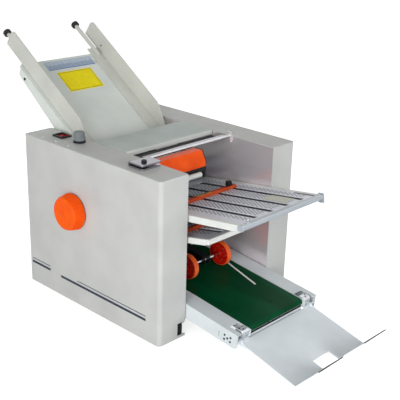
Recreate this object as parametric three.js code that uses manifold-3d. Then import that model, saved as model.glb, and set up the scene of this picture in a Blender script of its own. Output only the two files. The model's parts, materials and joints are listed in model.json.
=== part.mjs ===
import * as THREE from 'three';
import { mergeVertices } from 'three/addons/utils/BufferGeometryUtils.js';
import Module from 'manifold-3d';

const wasm = await Module();
wasm.setup();

// A tabletop paper folding machine with four fold plates, in millimetres, +Z up.
// The operator stands at -Y: the sheets are fed down from +Y and leave on a belt towards -Y.

// Driving dimensions of the whole machine
const bodyWidth = 520;
const bodyDepth = 554;
const bodyTop = 452;
const floorGap = 3;
const seatGap = 0.3;
const overrun = 4;
const roundSegments = 16;

// Side covers, sheet shells that are open towards the inside and at the bottom
const cover = {
  width: 94,
  wall: 2.5,
  cornerRadius: 12,
  edgeRadius: 4,
  notchWidth: 28,
  notchHeight: 43,
  sill: 7,
};

// Side frames: upright plates with a foot flange bent outwards
const frame = { inset: 1, thickness: 6, flangeWidth: 42, flangeThickness: 3, padHeight: 16, padLength: 34 };
const foot = { radius: 14, height: 38, inset: 11, setback: 19, chamfer: 2 };

// Fold rollers, a column that zig-zags between the four plates
const foldRollers = { count: 6, radius: 20.6, journal: 6, topZ: 325, offset: 9, endGap: 7 };
const gear = { module: 2, teeth: 21, width: 10, clearance: 5, addendumShare: 0.75, dedendumShare: 1.15 };
const gearToothShares = { root: 0.3, tip: 0.1 };

// Hand wheel and its gear, in mesh with the third fold roller
const handWheel = {
  radius: 53,
  depth: 31,
  standOff: 3,
  flutes: 30,
  fluteDepth: 1.4,
  hub: 17,
  rim: 11,
  dish: 2.5,
};
const handShaft = { radius: 5, teeth: 37, meshAngle: 36, roller: 2, grip: 20 };

// Feed table and its side guides
const feed = {
  slope: 34,
  rearY: 428.5,
  rearZ: 608,
  noseGap: 5,
  sideGap: 4,
  sheet: 2,
  rearFlange: 25,
  frontFlange: 45,
  cornerRadius: 14,
  taper: 300,
  seat: 390,
};
const guide = {
  inset: 13,
  wall: 3,
  height: 56,
  foot: 43,
  footSheet: 2,
  overhang: 88,
  footStart: 20,
  topStart: 281,
  noseStart: 355,
  noseHeight: 17,
  lift: 1,
  cornerRadius: 16,
  rodRadius: 6,
  rodStart: -14,
  rodEnd: 126,
  rodInset: 22,
};
const guideSlot = { place: 35, width: 7, studRadius: 3, studInset: 7, travel: 42, play: 2 };
const guideCap = { radius: 12, depth: 14, grip: 8 };

// Fold plates: the nip that feeds each, how far it reaches, how it slopes and where its stop stands
const foldPlate = {
  endGap: 7,
  mouthGap: 6.4,
  deck: 2.5,
  channel: 3,
  railWall: 10,
  slotWidth: 12,
  slotCount: 4,
  slotPitch: 62,
  slotShift: 9,
  rearBar: 30,
  frontBar: 16,
  seatShare: 0.42,
};
const upperFront = { nip: 0, reach: 414, slope: 8, facing: -1, rail: 18, bar: 27, stop: 155 };
const lowerFront = { nip: 2, reach: 307, slope: 11.75, facing: -1, rail: 16, bar: 14, stop: 200 };
const upperRear = { nip: 1, reach: 330, slope: 15, facing: 1, rail: 16, bar: 14, stop: 220 };
const lowerRear = { nip: 3, reach: 300, slope: 10, facing: 1, rail: 16, bar: 14, stop: 215 };
const foldStop = { height: 9, depth: 14, leftGap: 42, rightGap: 55, finger: 8 };
const lockKnob = { radius: 9, height: 14, stem: 3, inset: 24 };

// Conveyor below the plates
const conveyor = {
  frontY: -440,
  frontZ: 65.5,
  slope: 6.38,
  length: 382,
  beltRadius: 9.5,
  beltThickness: 1.5,
  beltGap: 3,
  sideGap: 4,
  flange: 51,
  sheet: 2,
  skirt: 42,
  nose: 16,
  tail: 14,
  notchLength: 42,
  notchWidth: 33,
  seat: 260,
};
const beltBlock = { length: 26, width: 27, height: 22 };
const press = {
  wheelRadius: 35.5,
  wheelWidth: 16,
  halfTrack: 66,
  place: 260,
  shaft: 5,
  halfShaft: 84,
  rim: 6,
  hub: 10.5,
  holes: 6,
  holeRadius: 4.6,
};
const pressArm = { halfWidth: 11, wall: 3, length: 92, height: 26, pivotRadius: 5 };

// Catch tray hooked to the front of the conveyor
const tray = {
  pinY: -449,
  pinZ: 47,
  pinRadius: 3,
  earDepth: 7,
  edge: [-2, -1.5],
  earTail: [-22, -8],
  length: 183,
  lip: 90,
  lipSlope: 47.5,
  sideGap: 17,
  sheet: 2,
  notchHalfWidth: 34,
  notchFlare: 10,
  notchDepth: 33,
};

// Top of the machine
const lid = {
  rearY: 78,
  frontY: -47,
  top: 454,
  fascia: 14,
  sheet: 2,
  sideGap: 2,
  rodRadius: 3,
  rodRise: 4.5,
};
const topBar = { radius: 4.5, y: -115, z: 457, leftGap: 14, rightGap: 6, sheet: 3, drop: 3.5, lidGap: 5 };
const guard = { leftGap: 17, right: 15, rearY: -124, topY: -150, noseY: -167, top: 447, nose: 415 };
const deflector = { right: 18, rearY: -58, rearZ: 398, frontY: -166, frontZ: 404, sheet: 2, lip: 12 };
const adjuster = { inset: 22, width: 66, rearY: -134, frontY: -188, leaf: 4, gap: 6, corner: 7 };
const adjusterScrew = { radius: 9, height: 7, inset: 46, y: -168, knurls: 18, knurlDepth: 0.6, stem: 4 };

// Controls on the left cover
const powerSwitch = { inset: 62, y: 183, width: 36, length: 44, rim: 3, lip: 4, depth: 26, rocker: 9 };
const speedKnob = {
  inset: 62,
  y: 107,
  radius: 15,
  skirt: 17,
  skirtHeight: 6,
  height: 30,
  flutes: 18,
  shaft: 4,
};
const inlet = { inset: 46, z: 96, width: 28, height: 48, depth: 30, flange: 3, rim: 4 };
const vent = { count: 6, width: 3.6, height: 66, pitch: 10, bottom: 300, inset: 46 };

// Drive: motor between the frames, toothed belts outside the left frame
const motor = { y: 190, z: 104, radius: 44, length: 112, shaft: 5, bore: 22, bell: 36, bellLength: 16 };
const driveBelt = { small: 13, large: 30, width: 8, thickness: 2, offset: 22 };
const feedRoller = { place: 402, radius: 25, sleeve: 44, core: 11, bed: 1 };
const feedBelt = { small: 12, large: 14, offset: 17 };
const basePlate = { frontY: -150, rearY: 252, z: 45, sheet: 2.5, flange: 16 };
const tieBar = { radius: 6, place: 330 };

// Sizes that follow from the ones above
const frameInner = bodyWidth / 2 - cover.width + frame.inset;
const frameOuter = frameInner + frame.thickness;
const frameBottom = foot.height + seatGap;
const frameTop = bodyTop - cover.wall - seatGap;
const frameEnd = bodyDepth / 2 - cover.wall - seatGap;
const gearFace = frameOuter + gear.clearance;
const gearBack = gearFace + gear.width;
const journalEnd = gearBack + seatGap + driveBelt.offset;
const farJournal = frameOuter + gear.clearance;
const beltFace = frameOuter + driveBelt.offset;
const feedBeltFace = frameOuter + feedBelt.offset;
const rollerHalf = frameInner - foldRollers.endGap;
const plateHalf = frameInner - foldPlate.endGap;
const stopLeft = frameInner - foldStop.leftGap;
const stopRight = frameInner - foldStop.rightGap;
const lockKnobX = stopRight - lockKnob.inset;
const tableHalf = frameInner - feed.sideGap;
const guideOuter = tableHalf - guide.inset;
const lidHalf = frameInner - lid.sideGap;
const conveyorOuter = frameInner - conveyor.sideGap;
const conveyorInner = conveyorOuter - conveyor.flange;
const beltHalf = conveyorInner - conveyor.beltGap;
const trayHalf = conveyorOuter - tray.sideGap;
const barLeft = frameInner - topBar.leftGap;
const barRight = frameInner - topBar.rightGap;
const guardLeft = frameInner - guard.leftGap;
const adjusterOuter = bodyWidth / 2 - adjuster.inset;
const adjusterInner = adjusterOuter - adjuster.width;
const adjusterTop = bodyTop + seatGap + 2 * adjuster.leaf + adjuster.gap;
const screwX = bodyWidth / 2 - adjusterScrew.inset;
const switchX = bodyWidth / 2 - powerSwitch.inset;
const knobX = bodyWidth / 2 - speedKnob.inset;
const inletX = bodyWidth / 2 - inlet.inset;

// Helpers that turn three.js shapes into solids and back
const weldTolerance = 1e-4;

function solidFrom(geometry) {
  geometry.deleteAttribute('normal');
  geometry.deleteAttribute('uv');
  const welded = mergeVertices(geometry, weldTolerance);
  return new wasm.Manifold(new wasm.Mesh({
    numProp: 3,
    vertProperties: new Float32Array(welded.attributes.position.array),
    triVerts: new Uint32Array(welded.index.array),
  }));
}

function geometryFrom(solid) {
  const mesh = solid.getMesh();
  const geometry = new THREE.BufferGeometry();
  geometry.setAttribute('position', new THREE.BufferAttribute(mesh.vertProperties, 3));
  geometry.setIndex(new THREE.BufferAttribute(mesh.triVerts, 1));
  geometry.computeVertexNormals();
  return geometry;
}

const join = (first, ...others) => others.reduce((whole, piece) => whole.add(piece), first);
const cut = (first, ...tools) => tools.reduce((whole, tool) => whole.subtract(tool), first);

function box(x0, x1, y0, y1, z0, z1) {
  const geometry = new THREE.BoxGeometry(Math.abs(x1 - x0), Math.abs(y1 - y0), Math.abs(z1 - z0));
  geometry.translate((x0 + x1) / 2, (y0 + y1) / 2, (z0 + z1) / 2);
  return solidFrom(geometry);
}

// A flat shape pushed along one axis. Its own axes are Y and Z along X, Z and X along Y, X and Y along Z.
const axisX = new THREE.Vector3(1, 0, 0);
const axisY = new THREE.Vector3(0, 1, 0);
const axisZ = new THREE.Vector3(0, 0, 1);
const shapeBases = {
  x: [axisY, axisZ, axisX],
  y: [axisZ, axisX, axisY],
  z: [axisX, axisY, axisZ],
};

function extrude(axis, shape, from, to, curveSegments = 3) {
  const geometry = new THREE.ExtrudeGeometry(shape, {
    depth: Math.abs(to - from),
    bevelEnabled: false,
    curveSegments,
  });
  geometry.applyMatrix4(new THREE.Matrix4().makeBasis(...shapeBases[axis]));
  geometry.translate(...axisShift(axis, Math.min(from, to)));
  return solidFrom(geometry);
}

function axisShift(axis, amount) {
  return ['x', 'y', 'z'].map((name) => (name === axis ? amount : 0));
}

const outline = (points) => new THREE.Shape(points.map(([u, v]) => new THREE.Vector2(u, v)));

function ring(count, radiusAt, centre = [0, 0]) {
  return outline(Array.from({ length: count }, (_, i) => {
    const angle = (i / count) * 2 * Math.PI;
    return [centre[0] + radiusAt(i) * Math.cos(angle), centre[1] + radiusAt(i) * Math.sin(angle)];
  }));
}

const rod = (axis, radius, from, to, centre = [0, 0], segments = roundSegments) =>
  extrude(axis, ring(segments, () => radius, centre), from, to);

function roundedRect(u0, u1, v0, v1, radius) {
  const [left, right] = [Math.min(u0, u1), Math.max(u0, u1)];
  const [low, high] = [Math.min(v0, v1), Math.max(v0, v1)];
  const shape = new THREE.Shape();
  shape.moveTo(left + radius, low);
  shape.lineTo(right - radius, low);
  shape.absarc(right - radius, low + radius, radius, -Math.PI / 2, 0);
  shape.lineTo(right, high - radius);
  shape.absarc(right - radius, high - radius, radius, 0, Math.PI / 2);
  shape.lineTo(left + radius, high);
  shape.absarc(left + radius, high - radius, radius, Math.PI / 2, Math.PI);
  shape.lineTo(left, low + radius);
  shape.absarc(left + radius, low + radius, radius, Math.PI, 1.5 * Math.PI);
  return shape;
}

// The outline of a belt round two pulleys, given by the centres and radii in the YZ plane
function beltOutline(first, firstRadius, second, secondRadius, steps = 10) {
  const along = Math.atan2(second[1] - first[1], second[0] - first[0]);
  const span = Math.hypot(second[0] - first[0], second[1] - first[1]);
  const lean = Math.acos((firstRadius - secondRadius) / span);
  const arc = (centre, radius, from, to) => Array.from({ length: steps + 1 }, (_, i) => {
    const angle = from + ((to - from) * i) / steps;
    const reach = radius / Math.cos((to - from) / steps / 2);
    return [centre[0] + reach * Math.cos(angle), centre[1] + reach * Math.sin(angle)];
  });
  return outline([
    ...arc(first, firstRadius, along + lean, along + 2 * Math.PI - lean),
    ...arc(second, secondRadius, along - lean, along + lean),
  ]);
}

function beltRound(first, firstRadius, second, secondRadius, thickness, from, to) {
  const outside = beltOutline(first, firstRadius + thickness, second, secondRadius + thickness);
  const inside = beltOutline(first, firstRadius, second, secondRadius);
  const [low, high] = [Math.min(from, to), Math.max(from, to)];
  return cut(extrude('x', outside, low, high), extrude('x', inside, low - overrun, high + overrun));
}

// Finishes
const finishes = {
  coverGrey: { color: 0xcfcec5, roughness: 0.55, metalness: 0 },
  tableGrey: { color: 0xb9c2bb, roughness: 0.45, metalness: 0 },
  steel: { color: 0xa9aeb5, roughness: 0.35, metalness: 1 },
  brightSteel: { color: 0xd4d8dc, roughness: 0.18, metalness: 1 },
  orange: { color: 0xe8541c, roughness: 0.4, metalness: 0 },
  wheelRed: { color: 0xb01505, roughness: 0.45, metalness: 0 },
  black: { color: 0x17181a, roughness: 0.6, metalness: 0 },
  rubber: { color: 0x141415, roughness: 0.9, metalness: 0 },
  beltGreen: { color: 0x0d3a26, roughness: 0.8, metalness: 0 },
  trayGrey: { color: 0xc5ccd0, roughness: 0.5, metalness: 0 },
  maroon: { color: 0x40000a, roughness: 0.35, metalness: 0 },
  knobGrey: { color: 0x8c9092, roughness: 0.5, metalness: 0 },
};

function addPiece(parent, name, solid, finish) {
  const mesh = new THREE.Mesh(geometryFrom(solid), new THREE.MeshStandardMaterial(finishes[finish]));
  mesh.name = name;
  parent.add(mesh);
  return mesh;
}

// Places that several pieces share
const radians = THREE.MathUtils.degToRad;
const sides = [['left', -1], ['right', 1]];
const rollerStep = 2 * gear.module * gear.teeth / 2;
const rollerRise = Math.sqrt(rollerStep ** 2 - (2 * foldRollers.offset) ** 2);

const rollerPlaces = Array.from({ length: foldRollers.count }, (_, i) => [
  i % 2 === 0 ? foldRollers.offset : -foldRollers.offset,
  foldRollers.topZ - i * rollerRise,
]);
const lastRoller = rollerPlaces[rollerPlaces.length - 1];
const motorPlace = [motor.y, motor.z];

// The mouth of a fold plate lies in front of its nip, clear of the rollers
function plateMouth(sizes) {
  const clear = foldRollers.offset + foldRollers.radius + foldPlate.mouthGap;
  return [sizes.facing * clear, (rollerPlaces[sizes.nip][1] + rollerPlaces[sizes.nip + 1][1]) / 2];
}

// A place on a fold plate, counted from its mouth along its slope
function platePoint(sizes, along, height) {
  const [mouthY, mouthZ] = plateMouth(sizes);
  const slope = radians(sizes.slope);
  return [
    mouthY + sizes.facing * (along * Math.cos(slope) - height * Math.sin(slope)),
    mouthZ + along * Math.sin(slope) + height * Math.cos(slope),
  ];
}

function feedPoint(along, height) {
  const slope = radians(feed.slope);
  return [
    feed.rearY - along * Math.cos(slope) - height * Math.sin(slope),
    feed.rearZ - along * Math.sin(slope) + height * Math.cos(slope),
  ];
}

// The feed table ends just short of the first fold roller
const feedLength = (() => {
  const slope = radians(feed.slope);
  const [dy, dz] = [feed.rearY - rollerPlaces[0][0], feed.rearZ - rollerPlaces[0][1]];
  const height = dy * Math.sin(slope) - dz * Math.cos(slope);
  const clear = foldRollers.radius + feed.noseGap;
  return dy * Math.cos(slope) + dz * Math.sin(slope) - Math.sqrt(clear ** 2 - height ** 2);
})();
const feedRollerPlace = feedPoint(feedRoller.place, feedRoller.radius + feedRoller.bed);
const tieBarPlace = feedPoint(tieBar.place, -feed.sheet - seatGap - tieBar.radius);
const handShaftPlace = [
  rollerPlaces[handShaft.roller][0]
    + gear.module * (gear.teeth + handShaft.teeth) / 2 * Math.cos(radians(handShaft.meshAngle)),
  rollerPlaces[handShaft.roller][1]
    + gear.module * (gear.teeth + handShaft.teeth) / 2 * Math.sin(radians(handShaft.meshAngle)),
];
const lidRodPlace = [lid.rearY - lid.sheet - seatGap - lid.rodRadius, lid.top - lid.fascia + lid.rodRise];
const footPlace = { x: frameInner + foot.inset, y: bodyDepth / 2 - foot.setback };

// Gear teeth with straight flanks, thin enough to leave backlash
function gearOutline(teeth) {
  const pitchRadius = gear.module * teeth / 2;
  const pitchAngle = 2 * Math.PI / teeth;
  const rootRadius = pitchRadius - gear.module * gear.dedendumShare;
  const tipRadius = pitchRadius + gear.module * gear.addendumShare;
  const flank = [
    [rootRadius, -gearToothShares.root],
    [tipRadius, -gearToothShares.tip],
    [tipRadius, gearToothShares.tip],
    [rootRadius, gearToothShares.root],
  ];
  return outline(Array.from({ length: teeth }, (_, tooth) => flank.map(([radius, share]) => {
    const angle = (tooth + share) * pitchAngle;
    return [radius * Math.cos(angle), radius * Math.sin(angle)];
  })).flat());
}

// The turn that puts a gear in mesh with its neighbour at rest
function meshTurn(place, teeth, neighbour, neighbourTeeth, neighbourTurn) {
  const towards = Math.atan2(place[1] - neighbour[1], place[0] - neighbour[0]);
  const neighbourPhase = (towards - neighbourTurn) * neighbourTeeth / (2 * Math.PI);
  return towards + Math.PI - (0.5 - neighbourPhase) * 2 * Math.PI / teeth;
}

// A side cover
function coverBlock(side, inset, innerX, bottomZ) {
  const outerX = side * (bodyWidth / 2 - inset);
  const halfDepth = bodyDepth / 2 - inset;
  const top = bodyTop - inset;
  const corner = cover.cornerRadius - inset;
  const edge = Math.max(cover.edgeRadius - inset, cover.edgeRadius / 4);
  const beyond = innerX - side * 2 * cover.cornerRadius;
  const below = bottomZ - 2 * cover.cornerRadius;
  const plan = extrude('z', roundedRect(beyond, outerX, -halfDepth, halfDepth, corner), bottomZ, top);
  const profile = extrude('x', roundedRect(-halfDepth, halfDepth, below, top, edge), innerX, outerX);
  const section = extrude('y', roundedRect(below, top, beyond, outerX, edge), -halfDepth, halfDepth);
  return plan.intersect(profile).intersect(section);
}

function coverShell(side) {
  const inner = side * (bodyWidth / 2 - cover.width);
  const behindInner = inner - side * overrun;
  const notchOuter = inner + side * cover.notchWidth;
  let shell = cut(
    coverBlock(side, 0, inner, floorGap),
    coverBlock(side, cover.wall, behindInner, floorGap - overrun),
    box(behindInner, notchOuter, -bodyDepth, bodyDepth, floorGap + cover.sill, floorGap + cover.notchHeight),
    box(behindInner, notchOuter, -bodyDepth / 2 + cover.wall, bodyDepth / 2 - cover.wall, 0,
      floorGap + cover.notchHeight),
  );
  for (let i = 0; i < vent.count; i += 1) {
    const slotX = side * (bodyWidth / 2 - vent.inset) + (i - (vent.count - 1) / 2) * vent.pitch;
    shell = cut(shell, extrude(
      'y',
      roundedRect(vent.bottom, vent.bottom + vent.height, slotX - vent.width / 2, slotX + vent.width / 2,
        vent.width / 3),
      bodyDepth / 2 - cover.wall - overrun,
      bodyDepth / 2 + overrun,
      1,
    ));
  }
  return shell;
}

function leftCover() {
  const switchHalfWidth = powerSwitch.width / 2 - powerSwitch.rim;
  const switchHalfLength = powerSwitch.length / 2 - powerSwitch.rim;
  const deckLow = bodyTop - cover.wall - overrun;
  const deckHigh = bodyTop + overrun;
  const wallOut = -bodyWidth / 2 - overrun;
  const wallIn = -bodyWidth / 2 + cover.wall + overrun;
  return cut(
    coverShell(-1),
    rod('x', handShaft.radius + cover.wall, wallOut, wallIn, handShaftPlace),
    box(-switchX - switchHalfWidth, -switchX + switchHalfWidth,
      powerSwitch.y - switchHalfLength, powerSwitch.y + switchHalfLength, deckLow, deckHigh),
    rod('z', speedKnob.shaft + seatGap, deckLow, deckHigh, [-knobX, speedKnob.y]),
    rod('z', adjusterScrew.stem + seatGap, deckLow, deckHigh, [-screwX, adjusterScrew.y]),
    box(-inletX - inlet.width / 2 + inlet.rim, -inletX + inlet.width / 2 - inlet.rim,
      bodyDepth / 2 - cover.wall - overrun, bodyDepth / 2 + overrun,
      inlet.z - inlet.height / 2 + inlet.rim, inlet.z + inlet.height / 2 - inlet.rim),
  );
}

// A side frame: plate, foot flange, seats for the pieces between the frames, and its holes
function frameSeat(side, place, reach) {
  return box(side * (reach + seatGap), side * (frameInner + frame.thickness / 2),
    place[0] - frame.padLength / 2, place[0] + frame.padLength / 2,
    place[1] - frame.padHeight / 2, place[1] + frame.padHeight / 2);
}

function sideFrame(side) {
  const plate = extrude('x', roundedRect(-frameEnd, frameEnd, frameBottom, frameTop, cover.edgeRadius),
    side * frameInner, side * frameOuter, 2);
  const flange = box(side * frameInner, side * (frameInner + frame.flangeWidth),
    -frameEnd + cover.cornerRadius, frameEnd - cover.cornerRadius,
    frameBottom, frameBottom + frame.flangeThickness);
  const seats = [
    ...[upperFront, lowerFront, upperRear, lowerRear].map((sizes) => frameSeat(side,
      platePoint(sizes, foldPlate.seatShare * sizes.reach, -sizes.rail / 2), plateHalf)),
    frameSeat(side, feedPoint(feed.seat, -feed.frontFlange / 2), tableHalf),
    frameSeat(side, conveyorPoint(conveyor.seat, -conveyor.skirt / 4), conveyorOuter),
  ];
  const earBottom = frameTop - frame.padHeight;
  const barEar = join(
    box(side * (barRight + seatGap), side * (bodyWidth / 2 - cover.width - seatGap),
      topBar.y - frame.padHeight / 2, topBar.y + frame.padHeight / 2, earBottom, topBar.z + topBar.radius),
    box(side * (barRight + seatGap), side * (frameInner + frame.thickness / 2),
      topBar.y - frame.padHeight / 2, topBar.y + frame.padHeight / 2, earBottom, frameTop - frame.thickness),
  );
  const holes = [
    ...rollerPlaces.map((place) => [foldRollers.journal, place]),
    [foldRollers.journal, feedRollerPlace],
    [tieBar.radius, tieBarPlace],
    [lid.rodRadius, lidRodPlace],
    ...(side < 0 ? [[handShaft.radius, handShaftPlace], [motor.shaft, motorPlace]] : []),
  ].map(([radius, place]) => rod('x', radius + seatGap, side * (frameInner - overrun),
    side * (frameOuter + overrun), place));
  const body = join(plate, flange, ...seats);
  return cut(side > 0 ? join(body, barEar) : body, ...holes);
}

// The tray's pins, in the conveyor's own slope
const trayPinPlace = (() => {
  const slope = radians(conveyor.slope);
  const [y, z] = [tray.pinY - conveyor.frontY, tray.pinZ - conveyor.frontZ];
  return [y * Math.cos(slope) + z * Math.sin(slope), z * Math.cos(slope) - y * Math.sin(slope)];
})();

// Conveyor place along its own slope, counted from the front roller towards the rear
function conveyorPoint(along, height) {
  const slope = radians(conveyor.slope);
  return [
    conveyor.frontY + along * Math.cos(slope) - height * Math.sin(slope),
    conveyor.frontZ + along * Math.sin(slope) + height * Math.cos(slope),
  ];
}

function rubberFoot() {
  const radius = foot.radius;
  const profile = [
    [0, 0],
    [radius - foot.chamfer, 0],
    [radius, foot.chamfer],
    [radius, foot.height - foot.chamfer],
    [radius - foot.chamfer, foot.height],
    [0, foot.height],
  ].map(([r, z]) => new THREE.Vector2(r, z));
  const geometry = new THREE.LatheGeometry(profile, roundSegments);
  geometry.rotateX(Math.PI / 2);
  return solidFrom(geometry);
}

function panWithFlanges() {
  const { frontY, rearY, z, sheet, flange } = basePlate;
  const reach = frameInner - seatGap;
  return cut(
    box(-reach, reach, frontY, rearY, z, z + flange),
    box(-reach + sheet, reach - sheet, frontY + sheet, rearY - sheet, z + sheet, z + flange + overrun),
  );
}

// Rollers, all with the gear or pulley that turns them
function foldRoller(index) {
  const { radius, journal } = foldRollers;
  const pieces = [
    rod('x', radius, -rollerHalf, rollerHalf),
    rod('x', journal, -journalEnd, farJournal),
    extrude('x', gearOutline(gear.teeth), -gearFace, -gearBack),
  ];
  if (index === 0) {
    pieces.push(rod('x', feedBelt.small, -feedBeltFace, -feedBeltFace - driveBelt.width));
  }
  if (index === foldRollers.count - 1) {
    pieces.push(rod('x', driveBelt.large, -beltFace, -beltFace - driveBelt.width));
  }
  return join(...pieces);
}

function feedRollerSolid() {
  return join(
    rod('x', foldRollers.journal, -journalEnd, farJournal),
    rod('x', feedRoller.core, -rollerHalf, rollerHalf),
    rod('x', feedRoller.radius, -feedRoller.sleeve, feedRoller.sleeve, [0, 0], 2 * roundSegments),
    rod('x', feedBelt.large, -feedBeltFace, -feedBeltFace - driveBelt.width),
  );
}

function handWheelSolid() {
  const inner = -bodyWidth / 2 - handWheel.standOff;
  const outer = inner - handWheel.depth;
  const face = outer + handWheel.dish;
  const fluted = ring(2 * handWheel.flutes, (i) => handWheel.radius - (i % 2) * handWheel.fluteDepth);
  const bowl = (from, to, inside) => cut(
    rod('x', handWheel.radius - handWheel.rim, from, to, [0, 0], 2 * roundSegments),
    rod('x', inside, from, to),
  );
  return cut(
    extrude('x', fluted, inner, outer),
    bowl(outer - overrun, face, handWheel.hub),
    bowl(face + cover.wall, inner + overrun, handWheel.hub),
    rod('x', handShaft.radius + seatGap, inner - handShaft.grip - seatGap, inner + overrun),
  );
}

function handShaftSolid() {
  return join(
    rod('x', handShaft.radius, -frameInner, -bodyWidth / 2 - handWheel.standOff - handShaft.grip),
    extrude('x', gearOutline(handShaft.teeth), -gearFace, -gearBack),
  );
}

// Motor with end bells, and the pulley on its shaft
function motorSolid() {
  const face = -frameInner + seatGap;
  return cut(
    join(
      rod('x', motor.radius, face + motor.bellLength, face + motor.length, [0, 0], 2 * roundSegments),
      rod('x', motor.bell, face, face + motor.length + motor.bellLength),
    ),
    rod('x', motor.shaft + seatGap, face - overrun, face + motor.bore),
  );
}

function motorPulley() {
  return join(
    rod('x', motor.shaft, -frameInner + motor.bore - seatGap * 2, -journalEnd),
    rod('x', driveBelt.small, -beltFace, -beltFace - driveBelt.width),
  );
}

// Feed table: a sheet tray turned down, with tapered side flanges and slots for the guides
function feedTable() {
  const { sheet, rearFlange, frontFlange, taper, cornerRadius } = feed;
  const [length, halfWidth] = [feedLength, tableHalf];
  const top = extrude('z', (() => {
    const shape = new THREE.Shape();
    shape.moveTo(-halfWidth, -length);
    shape.lineTo(halfWidth, -length);
    shape.lineTo(halfWidth, -cornerRadius);
    shape.absarc(halfWidth - cornerRadius, -cornerRadius, cornerRadius, 0, Math.PI / 2);
    shape.lineTo(-halfWidth + cornerRadius, 0);
    shape.absarc(-halfWidth + cornerRadius, -cornerRadius, cornerRadius, Math.PI / 2, Math.PI);
    return shape;
  })(), -sheet, 0);
  const flangeOutline = new THREE.Shape();
  flangeOutline.moveTo(-cornerRadius, -sheet / 2);
  flangeOutline.lineTo(-length, -sheet / 2);
  flangeOutline.lineTo(-length, -frontFlange);
  flangeOutline.lineTo(-taper, -frontFlange);
  flangeOutline.lineTo(-2 * cornerRadius, -rearFlange);
  flangeOutline.quadraticCurveTo(-cornerRadius, -rearFlange, -cornerRadius, -rearFlange + cornerRadius);
  let table = top;
  for (const [, side] of sides) {
    table = join(table, extrude('x', flangeOutline, side * halfWidth, side * (halfWidth - sheet)));
  }
  const rodHole = rod('x', tieBar.radius + seatGap, -halfWidth - overrun, halfWidth + overrun,
    [-tieBar.place, -sheet - seatGap - tieBar.radius]);
  const slots = sides.map(([, side]) => extrude('z', roundedRect(
    side * (guideOuter - guideSlot.studInset - guideSlot.travel - guideSlot.width / 2 - guideSlot.play),
    side * (guideOuter - guideSlot.studInset + guideSlot.width / 2 + guideSlot.play),
    -guideSlot.place - guideSlot.width / 2, -guideSlot.place + guideSlot.width / 2,
    guideSlot.width / 2,
  ), -sheet - overrun, overrun));
  return cut(table, rodHole, ...slots);
}

// Side guide: an L profile with a slanted nose, a rod beyond its foot, and a stud through the table's slot
function sideGuide(side) {
  const low = guide.lift;
  const wallShape = new THREE.Shape();
  wallShape.moveTo(-guide.noseStart, low);
  wallShape.lineTo(guide.overhang, low);
  wallShape.lineTo(guide.overhang, guide.height - guide.cornerRadius);
  wallShape.absarc(guide.overhang - guide.cornerRadius, guide.height - guide.cornerRadius,
    guide.cornerRadius, 0, Math.PI / 2);
  wallShape.lineTo(-guide.topStart, guide.height);
  wallShape.lineTo(-guide.noseStart, guide.noseHeight);
  const wall = extrude('x', wallShape, side * guideOuter, side * (guideOuter - guide.wall));
  const footInner = side * (guideOuter - guide.foot);
  const footPlate = extrude('z', roundedRect(footInner, side * (guideOuter - guide.wall / 2),
    -guide.noseStart, guide.footStart, guide.footSheet), low, low + guide.footSheet);
  const rodX = side * (guideOuter - guide.rodInset);
  const rail = rod('y', guide.rodRadius, guide.rodStart, guide.rodEnd, [low + guide.rodRadius, rodX]);
  const studX = side * (guideOuter - guideSlot.studInset);
  const stud = rod('z', guideSlot.studRadius, low + guide.footSheet / 2, -feed.sheet - guide.cornerRadius / 2,
    [studX, -guideSlot.place]);
  return join(wall, footPlate, rail, stud);
}

function guideCapSolid(side) {
  const rodX = side * (guideOuter - guide.rodInset);
  const centre = [guide.lift + guide.rodRadius, rodX];
  const start = guide.rodEnd - guideCap.grip;
  return cut(
    rod('y', guideCap.radius, start, start + guideCap.depth, centre),
    rod('y', guide.rodRadius + seatGap, start - overrun, guide.rodEnd + seatGap, centre),
  );
}

// Where the slots of a fold plate lie
const slotPlaces = Array.from({ length: foldPlate.slotCount }, (_, i) =>
  foldPlate.slotShift + (i - (foldPlate.slotCount - 1) / 2) * foldPlate.slotPitch);

// Fold plate, built with its mouth at the origin and reaching towards -Y
function foldPlateSolid(sizes) {
  const { deck, channel, railWall, slotWidth } = foldPlate;
  const { reach, rail, bar } = sizes;
  const halfWidth = plateHalf;
  const thickness = 2 * deck + channel;
  let plate = join(
    box(-halfWidth, halfWidth, -reach, 0, -thickness, 0),
    ...sides.map(([, side]) => extrude('y', roundedRect(-rail + deck / 2, deck / 2,
      side * (halfWidth - railWall), side * halfWidth, deck / 2), -reach, 0, 2)),
    extrude('x', roundedRect(-reach - foldPlate.frontBar / 2, -reach + foldPlate.frontBar / 2,
      deck / 2 - bar, deck / 2, deck / 2), -halfWidth, halfWidth, 2),
  );
  for (const x of slotPlaces) {
    plate = cut(plate, box(x - slotWidth / 2, x + slotWidth / 2,
      -reach + foldPlate.frontBar, -foldPlate.rearBar, -bar - overrun, overrun));
  }
  const paperGap = box(-halfWidth + railWall + seatGap, halfWidth - railWall - seatGap,
    -reach + foldPlate.frontBar, overrun, -deck - channel, -deck);
  return cut(plate, paperGap);
}

// Fold stop: a bar across the plate with a finger down each slot
function foldStopSolid(sizes) {
  const { height, depth, finger } = foldStop;
  const { deck, channel } = foldPlate;
  const fingers = slotPlaces
    .filter((x) => x - finger > -stopLeft && x + finger < stopRight)
    .map((x) => box(x - finger / 2, x + finger / 2, -finger / 2, finger / 2, -2 * deck - channel,
      seatGap + deck));
  const bar = extrude('x', roundedRect(-depth / 2, depth / 2, seatGap, seatGap + height, deck / 2),
    -stopLeft, stopRight);
  return sizes.knob ? cut(join(bar, ...fingers), rod('z', lockKnob.stem + seatGap,
    height / 2, height * 2, [lockKnobX, 0])) : join(bar, ...fingers);
}

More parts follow.
